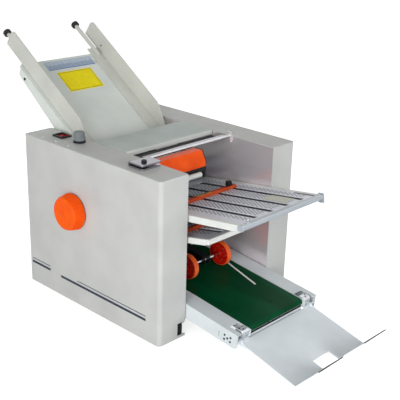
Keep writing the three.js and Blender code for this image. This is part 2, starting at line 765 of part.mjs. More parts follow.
function lockKnobSolid() {
  const base = foldStop.height + 2 * seatGap;
  const knurled = ring(2 * roundSegments, (i) => lockKnob.radius - (i % 2) * seatGap);
  return join(
    extrude('z', knurled, base, base + lockKnob.height),
    rod('z', lockKnob.stem, foldStop.height / 2 + seatGap, base + seatGap),
  );
}

// Conveyor, built along its slope with the front roller at the origin
function conveyorFrame(side) {
  const { sheet, skirt, nose, tail, length, beltRadius } = conveyor;
  const [inner, outer, top] = [conveyorInner, conveyorOuter, beltRadius];
  const skirtOutline = new THREE.Shape();
  skirtOutline.moveTo(-nose, top);
  skirtOutline.lineTo(length + tail, top);
  skirtOutline.lineTo(length + tail, top - skirt);
  skirtOutline.lineTo(-nose + skirt / 4, top - skirt);
  skirtOutline.quadraticCurveTo(-nose, top - skirt, -nose, top - skirt * 0.75);
  const body = join(
    extrude('x', skirtOutline, side * outer, side * (outer - sheet)),
    box(side * inner, side * outer, -nose, length + tail, top - sheet, top),
    box(side * inner, side * (inner + sheet), -nose, length + tail, top - skirt / 2, top),
  );
  const notch = box(side * (inner + sheet), side * (inner + sheet + conveyor.notchWidth), -nose - overrun,
    -nose + conveyor.notchLength, top - sheet - overrun, top + overrun);
  const bores = [0, length].map((along) => rod('x', pressArm.pivotRadius + seatGap,
    side * (inner - overrun), side * (inner + sheet + overrun), [along, 0]));
  const pinHole = rod('x', tray.pinRadius + seatGap,
    side * (outer - sheet - overrun), side * (outer + overrun), trayPinPlace);
  return cut(body, notch, pinHole, ...bores);
}

function beltRoller() {
  const { beltRadius, beltThickness, sheet } = conveyor;
  const inner = conveyorInner;
  return join(
    rod('x', beltRadius - beltThickness - seatGap, -beltHalf, beltHalf),
    rod('x', pressArm.pivotRadius, -inner - sheet - overrun, inner + sheet + overrun),
  );
}

function bearingBlock(side) {
  const start = side * (conveyorInner + conveyor.sheet + seatGap);
  const { length, width, height } = beltBlock;
  const block = extrude('x', roundedRect(-length / 2, length / 2, -height / 2, height / 2, height / 3),
    start, start + side * width);
  return cut(block, rod('x', pressArm.pivotRadius + seatGap, start - side * overrun,
    start + side * overrun * 2));
}

function pressWheel() {
  const { wheelRadius, wheelWidth, shaft, rim, hub } = press;
  const half = wheelWidth / 2;
  const tread = rod('x', wheelRadius, -half, half, [0, 0], 2 * roundSegments);
  const web = wheelRadius - rim;
  const dish = (from, to) => cut(
    rod('x', web, from, to, [0, 0], 2 * roundSegments),
    rod('x', hub, from, to),
  );
  const reach = (web + hub) / 2;
  const holes = Array.from({ length: press.holes }, (_, i) => {
    const angle = (i / press.holes) * 2 * Math.PI;
    return rod('x', press.holeRadius, -wheelWidth, wheelWidth,
      [reach * Math.cos(angle), reach * Math.sin(angle)], roundSegments / 2);
  });
  return cut(
    tread,
    dish(half - wheelWidth / 4, half + overrun),
    dish(-half - overrun, -half + wheelWidth / 4),
    ...holes,
    rod('x', shaft + seatGap, -wheelWidth, wheelWidth),
  );
}

// Arm of the press wheels: a channel from the pivot down to the wheel shaft
function pressArmSolid() {
  const { halfWidth, wall, length, height, pivotRadius } = pressArm;
  const side = beltOutline([0, 0], height / 2, [length, 0], height / 2);
  const body = cut(
    extrude('x', side, -halfWidth, halfWidth),
    box(-halfWidth + wall, halfWidth - wall, -height, length + height, -height, height / 2 - wall),
  );
  return join(
    cut(body, rod('x', press.shaft + seatGap, -height, height)),
    rod('x', pivotRadius, -frameInner + seatGap, frameInner - seatGap, [length, 0]),
  );
}

// Catch tray: one bent sheet that rests on its bend, with a notch for the hand and a pin at each rear corner
const traySlope = Math.asin((tray.pinZ + tray.edge[1] - seatGap) / tray.length);
const trayBend = [
  tray.edge[0] - tray.length * Math.cos(traySlope),
  tray.edge[1] - tray.length * Math.sin(traySlope),
];

function trayOutline() {
  const { edge, lip, sheet } = tray;
  const lipSlope = radians(tray.lipSlope);
  const end = [trayBend[0] - lip * Math.cos(lipSlope), trayBend[1] + lip * Math.sin(lipSlope)];
  const mid = (lipSlope - traySlope) / 2;
  const reach = sheet / Math.cos((lipSlope + traySlope) / 2);
  const above = (point, angle, amount) => [
    point[0] + amount * Math.sin(angle),
    point[1] + amount * Math.cos(angle),
  ];
  return outline([
    edge,
    above(edge, -traySlope, sheet),
    above(trayBend, mid, reach),
    above(end, lipSlope, sheet),
    end,
    trayBend,
  ]);
}

function catchTray() {
  const { notchHalfWidth, notchFlare, notchDepth, length, lip, sheet } = tray;
  const halfWidth = trayHalf;
  const body = extrude('x', trayOutline(), -halfWidth, halfWidth);
  const notch = extrude('z', outline([
    [notchHalfWidth, trayBend[0]],
    [notchHalfWidth, trayBend[0] + notchDepth],
    [-notchHalfWidth, trayBend[0] + notchDepth],
    [-notchHalfWidth, trayBend[0]],
    [-notchHalfWidth - notchFlare, trayBend[0] - lip],
    [notchHalfWidth + notchFlare, trayBend[0] - lip],
  ]), -length, length);
  const earOutline = beltOutline([0, 0], tray.earDepth, tray.earTail, sheet);
  const ears = sides.map(([, side]) => join(
    extrude('x', earOutline, side * halfWidth, side * (halfWidth - 2 * sheet)),
    rod('x', tray.pinRadius, side * (halfWidth - sheet), side * conveyorOuter),
  ));
  return join(cut(body, notch), ...ears);
}

// Top of the machine
function topLid() {
  const { rearY, frontY, top, fascia, sheet } = lid;
  const halfWidth = lidHalf;
  const low = top - fascia;
  return cut(
    extrude('x', roundedRect(frontY, rearY, low, top, sheet * 1.5), -halfWidth, halfWidth),
    box(-halfWidth + sheet, halfWidth - sheet, frontY + sheet, rearY - sheet, low - overrun, top - sheet),
    rod('x', lid.rodRadius + seatGap, -halfWidth - overrun, halfWidth + overrun, lidRodPlace),
  );
}

// A polished sheet in front of the lid, with a rolled front edge
function topBarSolid() {
  const { y, z, radius, sheet, drop, lidGap } = topBar;
  return join(
    rod('x', radius, -barLeft, barRight, [y, z]),
    box(-barLeft, barRight, y, lid.frontY - lidGap, z - drop, z - drop + sheet),
  );
}

function rollerGuard() {
  const { right, rearY, topY, noseY, top, nose } = guard;
  const left = guardLeft;
  const bottom = deflector.frontZ + seatGap;
  const wall = cover.wall;
  const profile = outline([
    [rearY, bottom],
    [noseY + wall, bottom],
    [noseY, nose],
    [topY, top],
    [rearY, top],
  ]);
  const hollow = outline([
    [rearY + overrun, bottom - overrun],
    [noseY + 2 * wall, bottom - overrun],
    [noseY + wall, nose],
    [topY + wall, top - wall],
    [rearY + overrun, top - wall],
  ]);
  const ribs = [left / 3, left * 2 / 3].map((place) =>
    box(-place, -place + wall, topY, rearY, bottom + wall, top - wall / 2));
  return join(
    cut(extrude('x', profile, -left, right), extrude('x', hollow, -left + wall, right - wall)),
    ...ribs,
  );
}

function paperDeflector() {
  const { right, rearY, rearZ, frontY, frontZ, sheet, lip } = deflector;
  return extrude('x', outline([
    [rearY, rearZ],
    [frontY, frontZ],
    [frontY, frontZ - lip],
    [frontY + sheet, frontZ - lip],
    [frontY + sheet, frontZ - sheet],
    [rearY, rearZ - sheet],
  ]), -frameInner + seatGap, right);
}

// Adjuster plate: one thick strip bent back over itself, with the bend at the rear
function adjusterPlate() {
  const { rearY, frontY, leaf, gap, corner } = adjuster;
  const [inner, outer] = [adjusterInner, adjusterOuter];
  const low = bodyTop + seatGap;
  const profile = roundedRect(frontY - corner, rearY, low, adjusterTop, adjuster.gap);
  const slit = roundedRect(frontY - 2 * corner, rearY - leaf, low + leaf, adjusterTop - leaf, leaf / 2);
  const plan = extrude('z', roundedRect(-outer, -inner, frontY, rearY + corner, corner),
    low - overrun, adjusterTop + overrun);
  return cut(
    extrude('x', profile, -outer, -inner).intersect(plan),
    extrude('x', slit, -outer - overrun, -inner + overrun),
    rod('z', adjusterScrew.stem + seatGap, low - overrun, adjusterTop + overrun, [-screwX, adjusterScrew.y]),
  );
}

function adjusterScrewSolid() {
  const { radius, height, knurls, knurlDepth, stem } = adjusterScrew;
  const base = adjusterTop + seatGap;
  const knurled = ring(2 * knurls, (i) => radius - (i % 2) * knurlDepth);
  return join(
    extrude('z', knurled, base, base + height),
    rod('z', stem, bodyTop - cover.wall * 2, base + height / 2),
  );
}

// Controls
function switchFrame() {
  const { width, length, rim, lip, depth } = powerSwitch;
  const seat = bodyTop + seatGap;
  const well = [width / 2 - 2 * rim, length / 2 - 2 * rim];
  const plug = [width / 2 - rim - seatGap, length / 2 - rim - seatGap];
  return cut(
    join(
      extrude('z', roundedRect(-width / 2, width / 2, -length / 2, length / 2, rim), seat, seat + lip, 3),
      box(-plug[0], plug[0], -plug[1], plug[1], seat - depth, seat + seatGap),
    ),
    box(-well[0], well[0], -well[1], well[1], seat - depth + rim, seat + lip + overrun),
  );
}

function rockerSolid() {
  const { width, length, rim, lip, rocker } = powerSwitch;
  const halfWidth = width / 2 - 2 * rim - seatGap;
  const halfLength = length / 2 - 2 * rim - 5 * seatGap;
  const top = lip + seatGap;
  const shape = new THREE.Shape();
  shape.moveTo(-halfLength, -rocker);
  shape.lineTo(halfLength * 0.9, -rocker);
  shape.lineTo(halfLength, top - lip * 0.8);
  shape.quadraticCurveTo(0, top - lip, -halfLength, top + lip / 2);
  return extrude('x', shape, -halfWidth, halfWidth, 6);
}

function speedKnobSolid() {
  const { radius, skirt, skirtHeight, height, flutes, shaft } = speedKnob;
  const grip = ring(2 * flutes, (i) => radius - (i % 2) * radius / 12);
  return join(
    rod('z', skirt, 0, skirtHeight, [0, 0], 2 * roundSegments),
    extrude('z', grip, skirtHeight / 2, height - skirtHeight / 3),
    rod('z', radius * 0.8, height / 2, height, [0, 0], 2 * roundSegments),
    rod('z', shaft, -skirt, skirtHeight / 2),
  );
}

function inletSolid() {
  const { width, height, depth, flange, rim } = inlet;
  const face = bodyDepth / 2 + seatGap;
  const plug = [width / 2 - rim - seatGap, height / 2 - rim - seatGap];
  return cut(
    join(
      extrude('y', roundedRect(-height / 2, height / 2, -width / 2, width / 2, rim), face, face + flange, 3),
      box(-plug[0], plug[0], face - depth, face + seatGap, -plug[1], plug[1]),
    ),
    extrude('y', roundedRect(-plug[1] + rim, plug[1] - rim, -plug[0] + rim, plug[0] - rim, rim),
      face - depth + rim, face + flange + overrun, 3),
  );
}

// Assembly
const machine = new THREE.Group();

addPiece(machine, 'left_cover', leftCover(), 'coverGrey');
addPiece(machine, 'right_cover', coverShell(1), 'coverGrey');
for (const [name, side] of sides) {
  addPiece(machine, `${name}_frame`, sideFrame(side), 'steel');
  for (const [end, direction] of [['front', -1], ['rear', 1]]) {
    const footMesh = addPiece(machine, `${name}_${end}_foot`, rubberFoot(), 'rubber');
    footMesh.position.set(side * footPlace.x, direction * footPlace.y, 0);
  }
}
addPiece(machine, 'base_pan', panWithFlanges(), 'steel');
addPiece(machine, 'tie_bar', rod('x', tieBar.radius, -frameOuter, frameOuter, tieBarPlace), 'steel');
addPiece(machine, 'top_bar', topBarSolid(), 'brightSteel');
addPiece(machine, 'lid_rod', rod('x', lid.rodRadius, -frameOuter, frameOuter, lidRodPlace), 'steel');
addPiece(machine, 'top_lid', topLid(), 'tableGrey');
addPiece(machine, 'roller_guard', rollerGuard(), 'orange');
addPiece(machine, 'paper_deflector', paperDeflector(), 'black');
addPiece(machine, 'adjuster_plate', adjusterPlate(), 'brightSteel');
const screwMesh = addPiece(machine, 'adjuster_screw', adjusterScrewSolid(), 'black');
screwMesh.position.set(-screwX, adjusterScrew.y, 0);

// The gear train turns each roller so that its teeth meet its neighbour's
let rollerTurn = 0;
const rollerTurns = rollerPlaces.map((place, i) => {
  if (i > 0) {
    rollerTurn = meshTurn(place, gear.teeth, rollerPlaces[i - 1], gear.teeth, rollerTurn);
  }
  return rollerTurn;
});
rollerPlaces.forEach((place, i) => {
  const roller = addPiece(machine, `fold_roller_${i + 1}`, foldRoller(i), 'steel');
  roller.position.set(0, ...place);
  roller.rotation.x = rollerTurns[i];
});

const handGroup = new THREE.Group();
handGroup.position.set(0, ...handShaftPlace);
machine.add(handGroup);
addPiece(handGroup, 'hand_wheel', handWheelSolid(), 'orange');
addPiece(handGroup, 'hand_wheel_shaft', handShaftSolid(), 'steel').rotation.x = meshTurn(
  handShaftPlace, handShaft.teeth, rollerPlaces[handShaft.roller], gear.teeth, rollerTurns[handShaft.roller]);

addPiece(machine, 'feed_roller', feedRollerSolid(), 'rubber').position.set(0, ...feedRollerPlace);
addPiece(machine, 'feed_belt', beltRound(rollerPlaces[0], feedBelt.small + seatGap, feedRollerPlace,
  feedBelt.large + seatGap, driveBelt.thickness, -feedBeltFace, -feedBeltFace - driveBelt.width), 'black');
addPiece(machine, 'motor', motorSolid(), 'black').position.set(0, ...motorPlace);
addPiece(machine, 'motor_pulley', motorPulley(), 'steel').position.set(0, ...motorPlace);
addPiece(machine, 'drive_belt', beltRound(lastRoller, driveBelt.large + seatGap, motorPlace,
  driveBelt.small + seatGap, driveBelt.thickness, -beltFace, -beltFace - driveBelt.width), 'black');

const feedGroup = new THREE.Group();
feedGroup.position.set(0, feed.rearY, feed.rearZ);
feedGroup.rotation.x = radians(feed.slope);
machine.add(feedGroup);
addPiece(feedGroup, 'feed_table', feedTable(), 'tableGrey');
for (const [name, side] of sides) {
  addPiece(feedGroup, `${name}_guide`, sideGuide(side), 'coverGrey');
  addPiece(feedGroup, `${name}_guide_cap`, guideCapSolid(side), 'rubber');
}

const plateGroups = [
  ['upper_front', upperFront],
  ['lower_front', lowerFront],
  ['upper_rear', upperRear],
  ['lower_rear', lowerRear],
];
for (const [name, sizes] of plateGroups) {
  const turned = new THREE.Group();
  turned.position.set(0, ...plateMouth(sizes));
  turned.rotation.z = sizes.facing > 0 ? Math.PI : 0;
  machine.add(turned);
  const tilted = new THREE.Group();
  tilted.rotation.x = -radians(sizes.slope);
  turned.add(tilted);
  addPiece(tilted, `${name}_plate`, foldPlateSolid(sizes), 'steel');
  const knob = sizes === upperFront;
  addPiece(tilted, `${name}_stop`, foldStopSolid({ knob }), 'orange').position.y = -sizes.stop;
  if (knob) {
    addPiece(tilted, 'stop_lock_knob', lockKnobSolid(), 'black').position.set(lockKnobX, -sizes.stop, 0);
  }
}

const beltGroup = new THREE.Group();
beltGroup.position.set(0, conveyor.frontY, conveyor.frontZ);
beltGroup.rotation.x = radians(conveyor.slope);
machine.add(beltGroup);
for (const [name, side] of sides) {
  addPiece(beltGroup, `${name}_conveyor_frame`, conveyorFrame(side), 'coverGrey');
  addPiece(beltGroup, `${name}_bearing_block`, bearingBlock(side), 'trayGrey');
}
addPiece(beltGroup, 'front_belt_roller', beltRoller(), 'steel');
addPiece(beltGroup, 'rear_belt_roller', beltRoller(), 'steel').position.y = conveyor.length;
addPiece(beltGroup, 'conveyor_belt', beltRound([0, 0], conveyor.beltRadius - conveyor.beltThickness,
  [conveyor.length, 0], conveyor.beltRadius - conveyor.beltThickness, conveyor.beltThickness,
  -beltHalf, beltHalf), 'beltGreen');
const pressGroup = new THREE.Group();
pressGroup.position.set(0, press.place, conveyor.beltRadius + seatGap + press.wheelRadius);
beltGroup.add(pressGroup);
for (const [name, side] of sides) {
  addPiece(pressGroup, `${name}_press_wheel`, pressWheel(), 'wheelRed').position.x = side * press.halfTrack;
}
addPiece(pressGroup, 'press_shaft', rod('x', press.shaft, -press.halfShaft, press.halfShaft), 'brightSteel');
addPiece(pressGroup, 'press_arm', pressArmSolid(), 'black');

const trayMesh = addPiece(machine, 'catch_tray', catchTray(), 'trayGrey');
trayMesh.position.set(0, tray.pinY, tray.pinZ);

addPiece(machine, 'switch_frame', switchFrame(), 'black').position.set(-switchX, powerSwitch.y, 0);
addPiece(machine, 'power_switch', rockerSolid(), 'maroon').position.set(-switchX, powerSwitch.y, bodyTop);
addPiece(machine, 'speed_knob', speedKnobSolid(), 'knobGrey').position.set(
  -knobX, speedKnob.y, bodyTop + seatGap);
addPiece(machine, 'power_inlet', inletSolid(), 'black').position.set(-inletX, 0, inlet.z);

// The origin is the middle of the footprint, on the floor
const extent = new THREE.Box3().setFromObject(machine, true);
const middle = extent.getCenter(new THREE.Vector3());
machine.position.set(-middle.x, -middle.y, -extent.min.z);

export default machine;
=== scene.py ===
import json
import math

import bmesh
import bpy
from mathutils import Matrix, Vector


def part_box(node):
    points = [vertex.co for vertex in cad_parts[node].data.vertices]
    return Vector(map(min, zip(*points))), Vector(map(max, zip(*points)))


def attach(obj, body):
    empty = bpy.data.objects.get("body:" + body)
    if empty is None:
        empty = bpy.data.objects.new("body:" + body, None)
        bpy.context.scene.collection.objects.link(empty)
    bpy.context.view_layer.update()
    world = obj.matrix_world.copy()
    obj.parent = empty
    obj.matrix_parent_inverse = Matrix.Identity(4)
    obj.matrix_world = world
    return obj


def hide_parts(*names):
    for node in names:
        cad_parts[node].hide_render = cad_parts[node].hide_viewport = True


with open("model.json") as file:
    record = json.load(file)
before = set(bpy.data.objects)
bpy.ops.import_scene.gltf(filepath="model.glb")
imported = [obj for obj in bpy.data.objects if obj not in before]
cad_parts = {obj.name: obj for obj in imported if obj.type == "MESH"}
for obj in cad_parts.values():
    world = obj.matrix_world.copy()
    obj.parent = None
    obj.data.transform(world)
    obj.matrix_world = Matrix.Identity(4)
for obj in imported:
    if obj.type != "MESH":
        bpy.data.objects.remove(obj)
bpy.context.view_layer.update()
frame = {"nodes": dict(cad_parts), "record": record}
scene = bpy.context.scene
mm = 0.001
sides = (("left", -1), ("right", 1))

# Places are typed in millimetres from the middle of the machine's two side covers, on the floor.
# The front is at -Y, so the sheets come out towards -Y, and the hand wheel is on the -X side.
coverHalf = {"width": 260, "depth": 277}
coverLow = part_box("left_cover")[0]
machineMiddle = Vector((coverLow.x + coverHalf["width"] * mm, coverLow.y + coverHalf["depth"] * mm, 0))


def placeAt(x, y, z, slope=0, turn=0):
    # a frame at that place, turned about Z and then sloped about its own X
    return (Matrix.Translation(machineMiddle + Vector((x, y, z)) * mm)
            @ Matrix.Rotation(math.radians(turn), 4, "Z")
            @ Matrix.Rotation(math.radians(slope), 4, "X"))


def shifted(place, x, y, z):
    return place @ Matrix.Translation(Vector((x, y, z)) * mm)


def across(sign, near, far):
    # the stretch between two distances from the middle, on the left or the right side
    return sorted((sign * near, sign * far))


def boxOf(node):
    return [(corner - machineMiddle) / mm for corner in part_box(node)]


# The machine's own frame and its slanted groups
feedTable = {"y": 428.5, "z": 608, "slope": 34}
beltTilt = 6.38
machine = placeAt(0, 0, 0)
feedSlope = placeAt(0, feedTable["y"], feedTable["z"], feedTable["slope"])
beltSlope = placeAt(0, -440, 65.5, beltTilt)
pressPlace = shifted(beltSlope, 0, 260, 45.3)
plateSizes = {
    "upper_front": {"place": placeAt(0, -36, 306.03, -8), "reach": 414, "rail": 18, "bar": 13},
    "lower_front": {"place": placeAt(0, -36, 230.13, -11.75), "reach": 307, "rail": 16, "bar": 14},
    "upper_rear": {"place": placeAt(0, 36, 268.08, -15, 180), "reach": 330, "rail": 16, "bar": 14},
    "lower_rear": {"place": placeAt(0, 36, 192.18, -10, 180), "reach": 300, "rail": 16, "bar": 14},
}


# colours and material nodes

def linear(hexText):
    channels = [int(hexText[i:i + 2], 16) / 255 for i in (1, 3, 5)]
    return [c / 12.92 if c <= 0.04045 else ((c + 0.055) / 1.055) ** 2.4 for c in channels] + [1.0]


def addNode(tree, kind, settings=None, links=None):
    # settings are the node's own properties or its inputs' values, with colours as hex texts. links
    # feed its inputs from sockets or from the first outputs of nodes, several of them as a tuple.
    node = tree.nodes.new(kind)
    for name, value in (settings or {}).items():
        if isinstance(name, str) and hasattr(node, name):
            setattr(node, name, value)
        else:
            isColour = isinstance(value, str) and value.startswith("#")
            node.inputs[name].default_value = linear(value) if isColour else value
    for name, sources in (links or {}).items():
        for source in sources if isinstance(sources, tuple) else (sources,):
            isSocket = isinstance(source, bpy.types.NodeSocket)
            tree.links.new(source if isSocket else source.outputs[0], node.inputs[name])
    return node


def noise(tree, coordinates, sizeMm, detail, stretch=(1, 1, 1)):
    # blotches about sizeMm across, drawn out along an axis by stretch
    mapped = addNode(tree, "ShaderNodeMapping", {"Scale": [1 / s for s in stretch]},
                     {"Vector": coordinates})
    return addNode(tree, "ShaderNodeTexNoise", {"Scale": 1 / (sizeMm * mm), "Detail": detail},
                   {"Vector": mapped})


def makeFinish(name, roughness, basics, colour, layers, gloss=None, grain=None, tilt=0):
    # A field is what noise takes after the coordinates, or a function that draws a pattern. A layer
    # lays a colour over the last one: (colour, field, range), and a rule with a weight where the worn
    # edges count too. A range is (low, high), then what it spreads out if that isn't 0.3 to 0.7.
    # gloss is (field, less, more) about the roughness, grain is (field, depth in mm, strength).
    material = bpy.data.materials.new(name)
    material.use_nodes = True
    tree = material.node_tree
    shader = tree.nodes["Principled BSDF"]
    for key, value in {"Roughness": roughness, **basics}.items():
        shader.inputs[key].default_value = value
    coordinates = addNode(tree, "ShaderNodeTexCoord").outputs["Object"]
    if tilt:
        coordinates = addNode(tree, "ShaderNodeMapping", {"Rotation": (math.radians(tilt), 0, 0)},
                              {"Vector": coordinates})
    fields = {}

    def heights(field):
        if field not in fields:
            isPattern = callable(field)
            fields[field] = field(tree, coordinates) if isPattern else noise(tree, coordinates, *field)
        return fields[field]

    def share(field, low, high, fromLow=0.3, fromHigh=0.7):
        limits = {"From Min": fromLow, "From Max": fromHigh, "To Min": low, "To Max": high}
        return addNode(tree, "ShaderNodeMapRange", limits, {"Value": heights(field)})

    base = None
    for tint, field, limits, *edges in layers:
        links = {0: share(field, *limits)}
        if edges:
            rule, weight = edges
            worn = addNode(tree, "ShaderNodeAttribute", {"attribute_name": "edgeShare"}).outputs["Fac"]
            weighed = addNode(tree, "ShaderNodeMath", {"operation": "MULTIPLY", 1: weight}, {0: worn})
            links[0] = addNode(tree, "ShaderNodeMath", {"operation": rule}, {0: links[0], 1: weighed})
        if base is not None:
            links[6] = base
        base = addNode(tree, "ShaderNodeMix", {"data_type": "RGBA", 6: colour, 7: tint}, links).outputs[2]
    tree.links.new(base, shader.inputs["Base Color"])
    if gloss:
        field, less, more = gloss
        glossShare = share(field, roughness + less, roughness + more)
        tree.links.new(glossShare.outputs[0], shader.inputs["Roughness"])
    if grain:
        field, depthMm, strength = grain
        bump = addNode(tree, "ShaderNodeBump", {"Distance": depthMm * mm, "Strength": strength},
                       {"Height": heights(field)})
        tree.links.new(bump.outputs["Normal"], shader.inputs["Normal"])
    return material


def paintedSheet(name, colour, worn, dust, gloss):
    # sheet steel with a baked coat: satin, a faint orange peel, thinner and paler along its bent edges,
    # with the grey film that hands and paper dust leave. The peel is 0.8 mm on the real coat, and is
    # drawn coarser so that it shows.
    return makeFinish(name, gloss, {"IOR": 1.5, "Specular IOR Level": 0.3}, colour,
                      [(dust, (90, 5), (0, 1, 0.35, 0.7)),
                       (worn, (7, 4), (0, 1, 0.42, 0.62), "MULTIPLY", 1.0)],
                      ((30, 4), -0.06, 0.08), ((5.0, 2), 0.05, 0.5))


def brushedSteel(name, colour, dark, gloss, grainMm=1.4, stretch=(1, 60, 1), metallic=1.0, spread=0.05):
    # stainless or plated sheet, ground along its length: long fine streaks in its colour and gloss,
    # which spread sets. The grit leaves lines of about 0.1 mm, drawn as coarse as the picture can show.
    streaks = (grainMm, 4, stretch)
    return makeFinish(name, gloss, {"Metallic": metallic, "Anisotropic": 0.4}, dark,
                      [(colour, streaks, (0, 1)), (dark, (45, 4), (0, 0.35, 0.5, 0.8))],
                      (streaks, -spread, spread), (streaks, 0.01, 3 * spread))


def polishedSteel(name, colour, gloss):
    # chromed and ground bright: nearly a mirror, with faint haze and finger marks
    haze = (16, 5)
    return makeFinish(name, gloss, {"Metallic": 1.0}, colour, [("#9A9EA2", haze, (0, 0.3))],
                      (haze, 0, 0.1), ((1.5, 2), 0.01, 0.2))


def mouldedPlastic(name, colour, shade, gloss, ior=1.53):
    # injection moulded ABS or nylon: one colour right through, a fine spark-eroded grain, and soft
    # flow marks. The grain is about 0.2 mm on the real piece and is drawn coarser so that it shows.
    return makeFinish(name, gloss, {"IOR": ior, "Specular IOR Level": 0.16}, shade,
                      [(colour, (40, 3), (0, 1), "MAXIMUM", 0.5)],
                      ((12, 4), -0.06, 0.1), ((2.5, 3), 0.04, 0.6))


def blackRubber(name, colour, dust):
    # vulcanised rubber: dull, slightly grey where dust sits in its skin
    return makeFinish(name, 0.85, {"IOR": 1.52}, colour, [(dust, (9, 6), (0, 1, 0.45, 0.75))],
                      ((4, 3), -0.1, 0.1), ((1.2, 3), 0.08, 0.6))


def weave(tree, coordinates):
    # two rows of threads that cross, 3 mm apart
    threads = [addNode(tree, "ShaderNodeTexWave",
                       {"wave_type": "BANDS", "bands_direction": axis, "Scale": 1 / (3 * mm) / 6.283,
                        "Distortion": 0.4, "Detail": 1}, {"Vector": coordinates}).outputs["Fac"]
               for axis in ("X", "Y")]
    return addNode(tree, "ShaderNodeMath", {"operation": "MULTIPLY"}, {0: threads[0], 1: threads[1]})


def beltCover(name, colour, rubbedAndSheen, raised):
    # green PVC over woven polyester, calendered smooth: the weave telegraphs as a faint grid, and paler
    # patches drawn out along the belt are partly wear from the sheets and partly painted sheen. Its
    # threads are 0.5 mm apart, drawn at 3 mm so that they show.
    return makeFinish(name, 0.33, {"IOR": 1.5, "Specular IOR Level": 0.05}, colour,
                      [(rubbedAndSheen, (70, 3, (1, 3, 1)), (0, 1, 0.4, 0.75)),
                       (raised, weave, (0, 0.12, 0.2, 0.9))],
                      ((60, 3, (1, 3, 1)), -0.07, 0.07), (weave, 0.02, 0.35), -beltTilt)


def printedCard(name, colour, shade, gloss=0.45):
    # printed paper under a clear film: even ink, a little cloudy where the glue holds less
    return makeFinish(name, gloss, {"IOR": 1.48, "Specular IOR Level": 0.25}, colour,
                      [(shade, (14, 4), (0, 1))], ((8, 3), -0.1, 0.1), ((6, 3), 0.02, 0.4))


def castAlloy(name, colour, dark, gloss):
    # pressure die cast zinc, left bare: fine pits and a dull lustre
    return makeFinish(name, gloss, {"Metallic": 0.85}, dark, [(colour, (6, 5), (0, 1))],
                      ((3, 4), -0.08, 0.12), ((1.6, 4), 0.05, 0.6))


